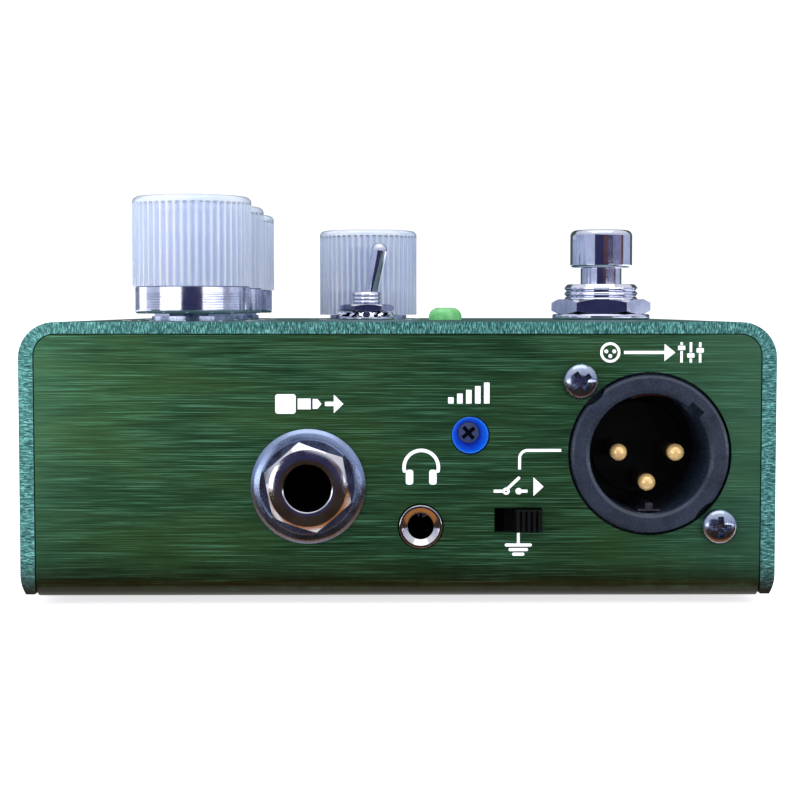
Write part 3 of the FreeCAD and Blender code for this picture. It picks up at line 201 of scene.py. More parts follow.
def brushed_panel():
    """Green anodised sheet, brushed from side to side."""
    base = rgb(42, 82, 50)
    finish = Finish("panel_green", base, 0.36, 0.72, Anisotropic=0.7)
    broad = finish.noise((0.06, 4.5, 4.5), 3, 0.6)
    fine = finish.noise((0.1, 8, 8), 3, 0.65)
    patches = finish.noise((0.05, 0.16, 0.16), 2)
    streaks = finish.mixed(broad, fine, 0.65)
    greens = finish.ramp(streaks, [
        (0.38, tint(base, 0.3)),
        (0.47, tint(base, 0.85)),
        (0.53, tint(base, 1.1)),
        (0.62, rgb(86, 142, 110)),
    ])
    olive = finish.blend(finish.span(patches, 0.42, 0.62, 0, 0.35), greens, rgb(66, 98, 44))
    # Painted highlight: the colour turns lighter and bluer towards the left and right ends, away from x = -6
    # mm.
    darkest_x = -6 * MM
    from_darkest_x = finish.math("ABSOLUTE", finish.math("SUBTRACT", finish.along("X"), darkest_x))
    edge_highlight = finish.span(from_darkest_x, 36 * MM, 58 * MM, 0.0, 0.26)
    # Painted shade over the lowest few mm of the panel.
    finish.feed("Base Color", finish.painted_floor_shade(finish.blend(edge_highlight, olive, rgb(98, 160, 134))))
    finish.feed("Roughness", finish.span(fine, 0.3, 0.7, 0.28, 0.46))
    finish.bump(streaks, 0.35, 0.03)
    tangent = finish.node("Tangent", direction_type="RADIAL", axis="Z").outputs["Tangent"]
    finish.feed("Tangent", tangent)
    return finish.material


COVER_BEND = 5


def brushed_cover():
    """Green anodised extrusion: brushed along its length, with short strokes across its sawn ends."""
    base = rgb(74, 132, 122)
    finish = Finish("cover_green", base, 0.38, 0.5)
    radius = COVER_BEND * MM
    coordinates = finish.node("TexCoord").outputs
    across, _, height = finish.node("SeparateXYZ", {"Vector": coordinates["Object"]}).outputs
    bend_x = OUTER_X * MM - radius
    near_x = finish.math("MINIMUM", finish.math("MAXIMUM", across, -bend_x), bend_x)
    near_z = finish.math("MINIMUM", height, TOP * MM - radius)
    out_x = finish.math("SUBTRACT", across, near_x)
    out_z = finish.math("SUBTRACT", height, near_z)
    swing = finish.math("MULTIPLY", finish.math("ARCTAN2", out_x, out_z), radius)
    squares = finish.math("ADD", finish.math("POWER", out_x, 2.0), finish.math("POWER", out_z, 2.0))
    reach = finish.math("MULTIPLY", finish.math("POWER", squares, 0.5), 0.16)
    inputs = {"X": finish.math("ADD", near_x, swing), "Y": near_z, "Z": reach}
    outline = finish.node("CombineXYZ", inputs).outputs["Vector"]
    inputs = {"Vector": outline, "Scale": 9.5 / MM, "Detail": 1.0}
    strokes = finish.node("TexNoise", inputs).outputs["Fac"]
    specks = finish.noise(4.5, 3, 0.6)
    length = finish.noise((4.5, 0.05, 4.5), 4, 0.65)
    facing = finish.node("SeparateXYZ", {"Vector": coordinates["Normal"]}).outputs["Y"]
    ends = finish.math("GREATER_THAN", finish.math("ABSOLUTE", facing), 0.9)
    sawn = finish.mixed(strokes, specks, 0.28)
    end_greens = finish.ramp(sawn, [
        (0.38, rgb(26, 72, 70)),
        (0.47, rgb(62, 116, 110)),
        (0.54, rgb(78, 140, 134)),
        (0.64, rgb(136, 206, 198)),
    ])
    # Painted shade: the long faces are painted darker than the base colour and the sawn ends.
    shaded_long_greens = finish.ramp(length, [
        (0.34, tint(base, 0.36)),
        (0.5, tint(base, 0.52)),
        (0.66, tint(base, 0.8)),
    ])
    # Painted shade over the lowest few mm of the cover.
    finish.feed("Base Color", finish.painted_floor_shade(finish.blend(ends, shaded_long_greens, end_greens)))
    along = finish.math("MULTIPLY", length, finish.math("SUBTRACT", 1.0, ends))
    mark = finish.math("ADD", finish.math("MULTIPLY", sawn, ends), along)
    finish.feed("Roughness", finish.span(mark, 0.3, 0.7, 0.3, 0.48))
    finish.bump(mark, 0.45, 0.03)
    return finish.material


def metal(name, color, roughness, spread=0.08, grain=3, dirt=0.82, pits=0.08, metallic=1.0, tip=0):
    """Cloudy, finely pitted metal; pins whose tips are tip mm from the middle get painted shade further in.
    """
    finish = Finish(name, color, roughness, metallic)
    cloud = finish.noise(0.35, 4)
    scratch = finish.noise(grain, 4, 0.6)
    shade = finish.ramp(cloud, [(0.32, tint(color, dirt)), (0.55, color)])
    if tip:
        # Painted shade on the pins, darker the further from the tip.
        bright, shaded_depth = 0.7, 2.4
        reach = finish.math("ABSOLUTE", finish.along("Y"))
        pin_shade = finish.span(reach, (tip - shaded_depth) * MM, (tip - bright) * MM, 0.97, 0.0)
        shade = finish.blend(pin_shade, shade, rgb(14, 10, 6))
    finish.feed("Base Color", shade)
    clouded = finish.span(cloud, 0.3, 0.7, -spread, spread)
    scratched = finish.span(scratch, 0.3, 0.7, -spread, spread)
    rough = finish.math("ADD", finish.math("ADD", clouded, scratched), roughness)
    finish.feed("Roughness", rough)
    finish.bump(scratch, pits, 0.02)
    return finish.material


def plastic(name, color, roughness, grain=6.0, relief=0.2, vary=0.25, **sockets):
    """Moulded plastic with a fine spark-eroded grain and slight colour drift."""
    finish = Finish(name, color, roughness, 0.0, **sockets)
    drift = finish.noise(0.3, 3)
    skin = finish.noise(grain, 3)
    shades = [(0.3, tint(color, 1 - vary)), (0.7, tint(color, 1 + vary))]
    finish.feed("Base Color", finish.ramp(drift, shades))
    finish.feed("Roughness", finish.span(skin, 0.3, 0.7, roughness - 0.08, roughness + 0.12))
    finish.bump(skin, relief, 0.02)
    return finish.material


def clear_knob():
    """Milky clear acrylic with an ice-blue cast, with painted shade in the grooves of the grip."""
    sockets = {"IOR": 1.5, "Transmission_Weight": 0.4, "Coat_Weight": 0.6}
    finish = Finish("knob_clear", rgb(214, 224, 250), 0.1, 0.0, **sockets)
    cloud = finish.noise((0.12, 0.12, 0.05), 3)
    groove = finish.node("Attribute", attribute_name=GROOVE_LAYER).outputs["Fac"]
    land = finish.ramp(cloud, [(0.35, rgb(226, 238, 255)), (0.65, rgb(248, 251, 255))])
    # Painted shade: the grooves are painted a darker lavender than the lands.
    finish.feed("Base Color", finish.blend(finish.span(groove, 0.25, 1.0, 0, 0.8), land, rgb(186, 200, 242)))
    skin = finish.noise(0.8, 3)
    finish.feed("Roughness", finish.span(skin, 0.35, 0.7, 0.05, 0.16))
    finish.bump(skin, 0.08, 0.05)
    return finish.material


def lit_lens():
    """Diffusing green lens, lit from inside above the lid."""
    sockets = {"Transmission_Weight": 0.35, "Emission_Strength": 0.16}
    finish = Finish("led_green", rgb(120, 240, 130), 0.25, 0.0, **sockets)
    glow = finish.noise(0.7, 2)
    finish.feed("Base Color", finish.ramp(glow, [(0.35, rgb(104, 190, 116)), (0.65, rgb(158, 222, 166))]))
    lit = finish.span(finish.along("Z"), (TOP - 0.3) * MM, (TOP + 1.5) * MM, 0.0, 1.0)
    shades = [(0.0, (0, 0, 0)), (0.25, rgb(60, 190, 60)), (1.0, rgb(130, 240, 110))]
    finish.feed("Emission Color", finish.ramp(lit, shades))
    finish.bump(glow, 0.1, 0.05)
    return finish.material


def slotted_rotor():
    """Grey plastic, with painted shade inside the screwdriver slots."""
    finish = Finish("rotor_grey", rgb(120, 130, 132), 0.5)
    face = low("trimmer_rotor").y
    # Painted shade: below the face the slots turn nearly black.
    slot_shade = finish.span(finish.along("Y"), (face + 0.05) * MM, (face + 0.3) * MM, 0.0, 1.0)
    grain = finish.noise(5, 3)
    grey = finish.ramp(grain, [(0.3, rgb(104, 114, 116)), (0.7, rgb(138, 148, 150))])
    finish.feed("Base Color", finish.blend(slot_shade, grey, rgb(16, 18, 20)))
    finish.bump(grain, 0.2, 0.02)
    return finish.material


def circuit_board():
    """Solder resist over copper tracks."""
    finish = Finish("board_green", rgb(24, 92, 58), 0.3, 0.0, Coat_Weight=0.4)
    inputs = {"Vector": finish.place(0.35), "Scale": 1.0, "Mortar Size": 0.045}
    tracks = finish.node("TexBrick", inputs, offset=0.3).outputs["Fac"]
    stain = finish.noise(0.2, 4)
    resist = finish.ramp(stain, [(0.35, rgb(14, 70, 44)), (0.65, rgb(30, 104, 66))])
    finish.feed("Base Color", finish.blend(tracks, resist, rgb(78, 150, 92)))
    finish.bump(tracks, 0.4, 0.04)
    return finish.material


def ribbon():
    """Grey ribbon cable, ridged along its wires."""
    finish = Finish("ribbon_grey", rgb(176, 178, 184), 0.5)
    inputs = {"Vector": finish.place((1, 0, 0)), "Scale": 0.31}
    ridges = finish.node("TexWave", inputs, bands_direction="X").outputs["Fac"]
    finish.feed("Base Color", finish.ramp(ridges, [(0.1, rgb(120, 122, 130)), (0.6, rgb(186, 188, 194))]))
    finish.bump(ridges, 0.6, 0.2)
    return finish.material


def ink():
    """White screen print, slightly uneven."""
    finish = Finish("ink_white", rgb(246, 246, 248), 0.55)
    grain = finish.noise(5, 3)
    finish.feed("Base Color", finish.ramp(grain, [(0.3, rgb(226, 228, 232)), (0.6, rgb(252, 252, 252))]))
    finish.bump(grain, 0.15, 0.01)
    return finish.material


FINISHES = {
    "cover_green": brushed_cover(),
    "panel_green": brushed_panel(),
    "zinc": metal("zinc", rgb(176, 186, 210), 0.2, grain=4, pits=0.12),
    "rubber": plastic("rubber", rgb(30, 30, 31), 0.78, grain=2.5, relief=0.45),
    "black_plastic": plastic("black_plastic", rgb(8, 9, 10), 0.45, Specular_IOR_Level=0.2),
    "gold": metal("gold", rgb(255, 214, 146), 0.22, dirt=0.7, metallic=0.5, tip=-low("xlr_pins").y),
    "nickel": metal("nickel", rgb(214, 212, 218), 0.13, spread=0.05, grain=7, pits=0.2),
    "washer_nickel": metal("washer_nickel", rgb(150, 166, 200), 0.28, grain=9, pits=0.35),
    "xlr_grey": plastic("xlr_grey", rgb(35, 43, 58), 0.26, grain=4, relief=1.0, vary=0.3,
                        Specular_IOR_Level=0.8),
    "trimmer_blue": plastic("trimmer_blue", rgb(14, 124, 250), 0.35, vary=0.12),
    "rotor_grey": slotted_rotor(),
    "board_green": circuit_board(),
    "ribbon_grey": ribbon(),
    "chrome": metal("chrome", rgb(216, 218, 234), 0.07, spread=0.02, pits=0.03),
    "led_green": lit_lens(),
    "knob_clear": clear_knob(),
    "skirt_aluminium": metal("skirt_aluminium", rgb(214, 218, 236), 0.14, spread=0.03,
                             grain=(0.5, 0.5, 9), pits=0.15),
    "copper": metal("copper", rgb(150, 92, 78), 0.3),
    "ink_white": ink(),
    "ink_dark": plastic("ink_dark", rgb(26, 30, 40), 0.5),
}

for item in frame["record"]["subparts"]:
    materials = frame["nodes"][item["node"]].data.materials
    materials.clear()
    materials.append(FINISHES[item["material_slot"]])


# -------- mesh building, in mm


def rounded(corners, steps=6):
    """Closed outline through (x, y, radius) corners, each turned on an arc of its radius."""
    points = []
    count = len(corners)
    for i, (x, y, radius) in enumerate(corners):
        here = Vector((x, y))
        if not radius:
            points.append(here)
            continue
        back = (Vector(corners[i - 1][:2]) - here).normalized()
        ahead = (Vector(corners[(i + 1) % count][:2]) - here).normalized()
        half = back.angle(ahead) / 2
        middle = here + (back + ahead).normalized() * (radius / math.sin(half))
        first = here + back * (radius / math.tan(half)) - middle
        last = here + ahead * (radius / math.tan(half)) - middle
        swing = first.angle_signed(last)
        for step in range(steps + 1):
            points.append(middle + Matrix.Rotation(-swing * step / steps, 2) @ first)
    return [(point.x, point.y) for point in points]


def bar(left, lower, right, upper, radius=0.0):
    """Rectangle with rounded corners."""
    corners = [(left, lower, radius), (right, lower, radius), (right, upper, radius), (left, upper, radius)]
    return rounded(corners, 4)


def arc(x, y, radius, start, end, steps=24):
    """Points along an arc, in degrees."""
    angles = [math.radians(start + (end - start) * i / steps) for i in range(steps + 1)]
    return [(x + radius * math.cos(angle), y + radius * math.sin(angle)) for angle in angles]


def revolve(rows, steps=96, pull=None):
    """Closed surface swept round Z from (radius, height) rows; pull() says how far a point is drawn in."""
    points, faces, rings = [], [], []
    for radius, height in rows:
        count = steps if radius > 1e-6 else 1
        rings.append(range(len(points), len(points) + count))
        for i in range(count):
            angle = TURN * i / steps
            reach = radius - pull(angle, radius, height) if pull and count > 1 else radius
            points.append((reach * math.cos(angle), reach * math.sin(angle), height))
    for this, other in zip(rings, rings[1:] + rings[:1]):
        if len(this) == 1 and len(other) == 1:
            continue
        for i in range(steps):
            corners = [this[i % len(this)], this[(i + 1) % steps % len(this)],
                       other[(i + 1) % steps % len(other)], other[i % len(other)]]
            faces.append(list(dict.fromkeys(corners)))
    return points, faces


def hex_nut(flats, rings, height, upper, lower, turn=0, per_side=16):
    """Six-sided nut with a corner at turn degrees.

    The rings are radii of its faces; upper(r) and lower(r) say how far the faces fall away there.
    """
    steps = 6 * per_side
    rows = 2 * len(rings) + 2
    points, faces = [], []
    for i in range(steps):
        angle = TURN * i / steps
        edge = flats / 2 / math.cos(angle % (TURN / 6) - TURN / 12)
        reaches = [min(ring, edge) for ring in rings] + [edge]
        heading = angle + math.radians(turn)
        rim = [(r, height - upper(r)) for r in reaches] + [(r, lower(r)) for r in reversed(reaches)]
        points += [(r * math.cos(heading), r * math.sin(heading), z) for r, z in rim]
    for i in range(steps):
        j = (i + 1) % steps
        for k in range(rows):
            m = (k + 1) % rows
            faces.append([i * rows + k, j * rows + k, j * rows + m, i * rows + m])
    return points, faces


def extrude(outline, bottom, top):
    """Prism over a closed outline."""
    count = len(outline)
    points = [(x, y, bottom) for x, y in outline] + [(x, y, top) for x, y in outline]
    faces = [list(range(count))[::-1], list(range(count, 2 * count))]
    faces += [[i, (i + 1) % count, count + (i + 1) % count, count + i] for i in range(count)]
    return points, faces


def joined(shapes):
    """Several shapes as one."""
    points, faces = [], []
    for more_points, more_faces in shapes:
        start = len(points)
        points += list(more_points)
        faces += [[start + i for i in face] for face in more_faces]
    return points, faces


def moved(shape, matrix):
    """Shape moved by a matrix."""
    points, faces = shape
    return [tuple(matrix @ Vector(point)) for point in points], faces


def even_normals(obj):
    """Let the larger faces decide the shading, so that flat walls stay flat beside their rounded edges."""
    obj.modifiers.new("normals", "WEIGHTED_NORMAL").keep_sharp = True


def closed_mesh(name, shape, place):
    """Mesh object of a shape in mm, put in its place, with its faces turned outwards."""
    points, faces = shape
    mesh = bpy.data.meshes.new(name)
    mesh.from_pydata([place @ Vector(point) for point in points], [], faces)
    work = bmesh.new()
    work.from_mesh(mesh)
    bmesh.ops.recalc_face_normals(work, faces=work.faces)
    work.to_mesh(mesh)
    work.free()
    obj = bpy.data.objects.new(name, mesh)
    link(obj)
    return obj


def shade(mesh, crease):
    """Smooth shading, with sharp edges where faces meet at more than crease degrees."""
    mesh.shade_smooth()
    mesh.set_sharp_from_angle(angle=math.radians(crease))


def piece(name, shape, finish, body="enclosure", at=(0, 0, 0), facing=UP, stands_for=(), crease=32,
          bevel=0.0):
    """Finished mesh object that rides on a body; shape is in mm about its own place."""
    place = Matrix.Translation(Vector(at) * MM) @ facing @ Matrix.Scale(MM, 4)
    obj = closed_mesh(name, shape, place)
    shade(obj.data, crease)
    obj.data.materials.append(FINISHES[finish])
    if bevel:
        edge = obj.modifiers.new("edges", "BEVEL")
        edge.width = bevel * MM
        edge.segments = 2
        edge.limit_method = "ANGLE"
        edge.angle_limit = math.radians(crease)
        edge.harden_normals = True
    even_normals(obj)
    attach(obj, body)
    if stands_for:
        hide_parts(*stands_for)
    return obj


def turned(name, rows, finish, node, steps=128, **settings):
    """Piece swept round Z that stands for one CAD node."""
    return piece(name, revolve(rows, steps), finish, stands_for=(node,), **settings)


# -------- knobs

TALL = ("front", "middle", "rear")
SHAFT_GAP = 0.02
FLUTES = 50
FLUTE_HALF = 0.44
FLUTE_DEPTH = 0.34
KNOB_EDGE = 0.9
COLUMNS_PER_FLUTE = 12


def knob_shape(name, radius, inner_rows):
    """Fluted knob: inner_rows run from the shaft's end round the underside to the rim."""
    bottom = high(f"{name}_skirt").z if name.startswith(TALL) else low(name).z
    top = high(name).z
    flute_top = top - KNOB_EDGE - 0.1 - FLUTE_HALF

    def flute(angle, at_radius, height):
        """Depth of the half-round flutes, which end in a round run-out below the rim."""
        if at_radius < radius - 0.01 or height > flute_top + FLUTE_HALF:
            return 0.0
        offset = ((angle / TURN * FLUTES) % 1 - 0.5) * TURN / FLUTES * radius
        above = max(0.0, height - flute_top)
        share = math.hypot(offset, above) / FLUTE_HALF
        return FLUTE_DEPTH * math.sqrt(max(0.0, 1 - share * share))

    rows = list(inner_rows)
    rows += [(radius - 0.9, bottom), (radius, bottom)]
    rows += [(radius, bottom + (flute_top - bottom) * i / 4) for i in range(1, 5)]
    rows += [(radius, flute_top + FLUTE_HALF * math.sin(math.pi / 2 * i / 8)) for i in range(1, 9)]
    rows.append((radius, top - KNOB_EDGE))
    for i in range(1, 9):
        angle = math.pi / 2 * i / 8
        reach = KNOB_EDGE * (1 - math.cos(angle))
        rows.append((radius - reach, top - KNOB_EDGE * (1 - math.sin(angle))))
    dish = top - 0.16
    rows += [(radius * 0.72, top), (radius * 0.7, top - 0.12), (radius * 0.35, dish), (0, dish)]
    return revolve(rows, FLUTES * COLUMNS_PER_FLUTE, flute)


def add_knob(name, tall):
    """Knob, its pointer line and, on the tall ones, the turned skirt."""
    node = f"{name}_knob"
    body = f"{name}_control"
    middle = centre(node)
    radius = half_width(node)
    shaft = half_width(f"{name}_pot_shaft") + SHAFT_GAP
    roof = high(f"{name}_pot_shaft").z + 0.5
    bottom = low(node).z
    top = high(node).z
    if tall:
        hub = 4.0
        ledge = high(f"{node}_skirt").z
        inner = [(0, roof), (shaft, roof), (shaft, bottom), (hub, bottom), (hub, ledge)]
    else:
        hollow, ceiling = 6.85, bottom + 4.2
        inner = [(0, roof), (shaft, roof), (shaft, ceiling), (hollow, ceiling), (hollow, bottom)]
    shape = knob_shape(node, radius, inner)
    at = (middle.x, middle.y, 0)
    knob = piece(f"{name}_fluted_knob", shape, "knob_clear", body, at, stands_for=(node,), crease=40)
    # Groove depth, which the knob finish turns into painted shade.
    layer = knob.data.attributes.new(GROOVE_LAYER, "FLOAT", "POINT")
    for vertex, number in zip(knob.data.vertices, layer.data):
        offset = vertex.co / MM - Vector(at)
        above_rim = vertex.co.z / MM > top - KNOB_EDGE
        number.value = 0 if above_rim else min(1, max(0, (radius - offset.xy.length) / FLUTE_DEPTH))

    half, tip = 0.35, radius * 0.5
    line = rounded([(-half, 0, 0.1), (half, 0, 0.1), (half, tip, 0.3), (-half, tip, 0.3)], 4)
    mark = extrude([(-y - radius * 0.18, x) for x, y in line], top - 0.17, top - 0.1)
    piece(f"{name}_knob_pointer", mark, "ink_dark", body, at)
    if tall:
        add_skirt(name, at)


GROOVE_PITCH = 0.24
GROOVE_DEPTH = 0.05
GROOVES = 11


def add_skirt(name, at):
    """Turned aluminium skirt with a band of fine grooves."""
    node = f"{name}_knob_skirt"
    radius = half_width(node)
    bottom, top = low(node).z, high(node).z
    bore, hub, web = 6.8, 4.02, 1.0
    start = bottom + 0.6
    rows = [(bore, bottom), (radius - 0.35, bottom), (radius - 0.1, bottom + 0.08)]
    rows += [(radius, bottom + 0.3), (radius, start)]
    for i in range(GROOVES):
        rows.append((radius - GROOVE_DEPTH, start + GROOVE_PITCH * (i + 0.2)))
        rows.append((radius, start + GROOVE_PITCH * (i + 0.4)))
        rows.append((radius, start + GROOVE_PITCH * (i + 1.0)))
    rows += [(radius, top - 0.15), (radius - 0.12, top - 0.02), (radius - 0.3, top), (hub, top)]
    rows += [(hub, top - web), (bore, top - web)]
    turned(f"{name}_turned_skirt", rows, "skirt_aluminium", node, 160, body=f"{name}_control", at=at,
           crease=25)


for knob in TALL:
    add_knob(knob, True)
add_knob("low", False)


# -------- jacks


JACK_NUT_FLATS = 11
JACK_NUT_TURN = 41
JACK_SLEEVE_DEPTH = 8


def frame_bore(mount):
    """Radius of a bore mount, in mm."""
    return next(m["dims"]["r_mm"] for m in frame["record"]["mounts"] if m["name"] == mount)


def proud_of_panel(node, surface):
    """How far a CAD node stands out of the end panel at this surface."""
    return FRONT - low(node).y if surface == FRONT else high(node).y - BACK


def add_jack(name, facing, surface):
    """Nut with a domed hollow face on a stepped washer."""
    nut = f"{name}_jack_nut"
    washer = f"{name}_jack_washer"
    middle = centre(washer)
    at = (middle.x, surface, middle.z)
    face = proud_of_panel(nut, surface)
    rim = proud_of_panel(washer, surface)
    bore = frame_bore(f"{name}_jack")
    lip, crown, chamfered, sleeve_radius = 0.25, bore + 0.8, 5.3, 4.7

    def dome(r):
        """Fall of the face: a rolled lip at the bore, a curved crown and chamfered corners."""
        if r < bore + lip:
            return lip - math.sqrt(lip * lip - (bore + lip - r) ** 2)
        fall = 0.13 * max(0.0, r - crown) ** 2
        return fall + 0.6 * max(0.0, r - chamfered)

    seat = rim - 0.2
    rings = [bore, bore + 0.06, bore + 0.14, bore + lip, crown, crown + 0.4, crown + 0.8, chamfered, 5.35]
    body = hex_nut(JACK_NUT_FLATS, rings, face - seat, dome, lambda r: 0.0, JACK_NUT_TURN, 20)
    body = moved(body, Matrix.Translation((0, 0, seat)))
    rows = [(bore, -JACK_SLEEVE_DEPTH), (sleeve_radius, -JACK_SLEEVE_DEPTH)]
    rows += [(sleeve_radius, seat + 0.1), (bore, seat + 0.1)]
    piece(f"{name}_domed_nut", joined([body, revolve(rows, 96)]), "nickel", at=at, facing=facing,
          stands_for=(nut,), crease=28)

    outer = half_width(washer)
    hole, flat = 4.75, 6.45
    rows = rounded([
        (hole, 0, 0),
        (outer, 0, 0.08),
        (outer, 0.28, 0.1),
        (outer - 0.55, rim - 0.22, 0.8),
        (flat + 0.2, rim, 0.12),
        (flat, seat, 0.05),
        (hole, seat, 0),
    ], 5)
    turned(f"{name}_stepped_washer", rows, "washer_nickel", washer, at=at, facing=facing, crease=25)


add_jack("output", FORWARD, FRONT)
add_jack("input", BACKWARD, BACK)


def add_headphone_barrel():
    """Rolled barrel with a conical mouth, and the leaf contact that shows inside it."""
    node = "headphone_jack_barrel"
    middle = centre(node)
    bore = frame_bore("headphone_jack")
    outer = half_width(node)
    proud = proud_of_panel(node, FRONT)
    depth, mouth = 6, 2.62
    at = (middle.x, FRONT, middle.z)
    rows = rounded([
        (bore, -depth, 0),
        (outer, -depth, 0),
        (outer, proud, 0.14),
        (mouth, proud, 0.06),
        (bore, proud - 0.62, 0.1),
    ], 5)
    turned("headphone_mouth", rows, "nickel", node, 96, at=at, facing=FORWARD, crease=30)
    leaf = joined([
        extrude([(-0.35, 1.0), (-0.1, 1.0), (-0.1, 1.72), (-0.35, 1.72)], -4.2, -3.4),
        extrude([(0.25, 0.9), (0.95, 1.05), (0.95, 1.5), (0.25, 1.74)], -4.0, -3.2),
    ])
    piece("headphone_tip_leaf", leaf, "zinc", at=at, facing=FORWARD, bevel=0.05)


add_headphone_barrel()


# -------- threaded bushings, nuts and washers


def threaded(radius, depth, pitch, bottom, top):
    """Rows of a thread drawn as rounded rings, from bottom to top."""
    rows = []
    turns = max(1, round((top - bottom) / pitch))
    step = (top - bottom) / turns
    for i in range(turns):
        start = bottom + step * i
        flank = radius - depth * 0.35
        rows += [(radius - depth, start + step * 0.04), (flank, start + step * 0.28)]
        rows += [(radius, start + step * 0.45), (radius, start + step * 0.6), (flank, start + step * 0.78)]
    return rows


def chamfer(flats):
    """How far a nut's face falls away outside its flats."""
    return lambda r: max(0.0, r - flats / 2 + 0.02) * 0.5


def plain_rings(bore, flats):
    """Radii for the faces of a nut with chamfered corners."""
    return [bore, (bore + flats / 2) / 2, flats / 2 - 0.02, flats / 2 + 0.05]


def washer_rows(hole, outer, height, lower_round, upper_round, steps):
    """Outline of a flat washer with rounded outer edges."""
    corners = [(hole, 0, 0), (outer, 0, lower_round), (outer, height, upper_round), (hole, height, 0)]
    return rounded(corners, steps)


FOOTSWITCH_NUT_FLATS = 14.3
FOOTSWITCH_NUT_TURN = -6
TOGGLE_NUT_FLATS = 8
TOGGLE_NUT_TURN = 4
NUT_GAP = 0.02
WASHER_GAP = 0.05


def add_footswitch():
    """Chrome push button, threaded bushing, nut and washer."""
    middle = centre("footswitch_button")
    at = (middle.x, middle.y, TOP)
    tip, collar, neck = 2, 4.8, 3.4
    cap = half_width("footswitch_button")
    top = high("footswitch_button").z - TOP
    under = top - 6.2
    deep = low("footswitch_button").z - TOP
    step, shelf = deep + 3, deep + 4.5
    rows = [(0, deep), (tip, deep), (tip, step), (collar, step), (collar, shelf), (neck, shelf)]
    rows.append((neck, under - 0.3))
    rows += rounded([(neck, under, 0.25), (cap, under, 0.45), (cap, top, 0.95), (0.01, top, 0)], 8)[:-1]
    rows += [(2.5, top), (0, top)]
    turned("footswitch_plunger", rows, "chrome", "footswitch_button", body="footswitch", at=at, crease=40)

    washer_top = high("footswitch_washer").z - TOP
    nut_top = high("footswitch_nut").z - TOP
    bushing_top = high("footswitch_bushing").z - TOP
    flange = low("footswitch_bushing").z - TOP
    thread, depth, pitch = 6.1, 0.35, 0.86
    bore, flange_radius, flange_top = 3.55, 7.5, flange + 1
    rows = [(bore, flange), (flange_radius, flange), (flange_radius, flange_top)]
    rows.append((thread - depth, flange_top))
    rows += threaded(thread, depth, pitch, flange_top, bushing_top - 0.25)
    rows += [(thread - 0.45, bushing_top - 0.05), (thread - 0.65, bushing_top)]
    rows += [(bore + 0.25, bushing_top), (bore, bushing_top - 0.25)]
    turned("footswitch_thread", rows, "chrome", "footswitch_bushing", at=at, crease=30)

    flats = FOOTSWITCH_NUT_FLATS
    rings = plain_rings(thread + NUT_GAP, flats)
    fall = chamfer(flats)
    nut = hex_nut(flats, rings, nut_top - washer_top, fall, fall, FOOTSWITCH_NUT_TURN, 20)
    piece("footswitch_hex_nut", moved(nut, Matrix.Translation((0, 0, washer_top))), "chrome", at=at,
          stands_for=("footswitch_nut",), crease=25, bevel=0.08)
    rows = washer_rows(thread + WASHER_GAP, half_width("footswitch_washer"), washer_top, 0.3, 0.35, 5)
    turned("footswitch_flat_washer", rows, "chrome", "footswitch_washer", at=at, crease=30)


def star_washer(inner, outer, height, teeth=12, twist=24):
    """Lock washer with a thin ring and outer teeth, each twisted about its own arm."""
    rim = outer - 1.25
    middle = height / 2
    bottom, top = middle - 0.2, middle + 0.2
    shapes = [revolve([(inner, bottom), (rim, bottom), (rim, top), (inner, top)], 96)]
    tooth = extrude([(rim - 0.1, -0.55), (outer, -0.42), (outer, 0.42), (rim - 0.1, 0.55)], -0.17, 0.17)
    for i in range(teeth):
        spin = Matrix.Rotation(TURN * i / teeth, 4, "Z")
        lean = Matrix.Rotation(math.radians(twist), 4, "X")
        shapes.append(moved(tooth, Matrix.Translation((0, 0, middle)) @ spin @ lean))
    return joined(shapes)


def add_toggle():
    """Toggle's threaded bushing, nut, lock washer and plain washer; the lever is the CAD one."""
    middle = centre("toggle_nut")
    at = (middle.x, middle.y, TOP)
    thread, depth, pitch = 2.4, 0.22, 0.64
    bore, flange, mouth = 1.55, 4.1, 2.0
    bushing_top = high("toggle_bushing").z - TOP
    bottom = low("toggle_bushing").z - TOP
    flange_top = bottom + 0.8
    rows = [(bore, bottom), (flange, bottom), (flange, flange_top), (thread - 0.2, flange_top)]
    rows += threaded(thread, depth, pitch, flange_top, bushing_top - 0.1)
    rows += [(thread - 0.25, bushing_top), (mouth, bushing_top), (bore, 1.5)]
    turned("toggle_threaded_bushing", rows, "chrome", "toggle_bushing", 96, at=at, crease=30)
    nut_low = low("toggle_nut").z - TOP
    nut_high = high("toggle_nut").z - TOP
    rings = plain_rings(thread + NUT_GAP, TOGGLE_NUT_FLATS)
    fall = chamfer(TOGGLE_NUT_FLATS)
    nut = hex_nut(TOGGLE_NUT_FLATS, rings, nut_high - nut_low, fall, fall, TOGGLE_NUT_TURN)
    piece("toggle_hex_nut", moved(nut, Matrix.Translation((0, 0, nut_low))), "chrome", at=at,
          stands_for=("toggle_nut",), crease=25, bevel=0.05)
    outer = half_width("toggle_washers")
    plain_top = 0.4
    hole = thread + WASHER_GAP
    rows = washer_rows(hole, outer, plain_top, 0.12, 0.12, 4)
    lock = moved(star_washer(hole, outer, nut_low - plain_top), Matrix.Translation((0, 0, plain_top)))
    piece("toggle_lock_washers", joined([revolve(rows, 96), lock]), "chrome", at=at,
          stands_for=("toggle_washers",), crease=30)


add_footswitch()
add_toggle()


# -------- XLR connector details


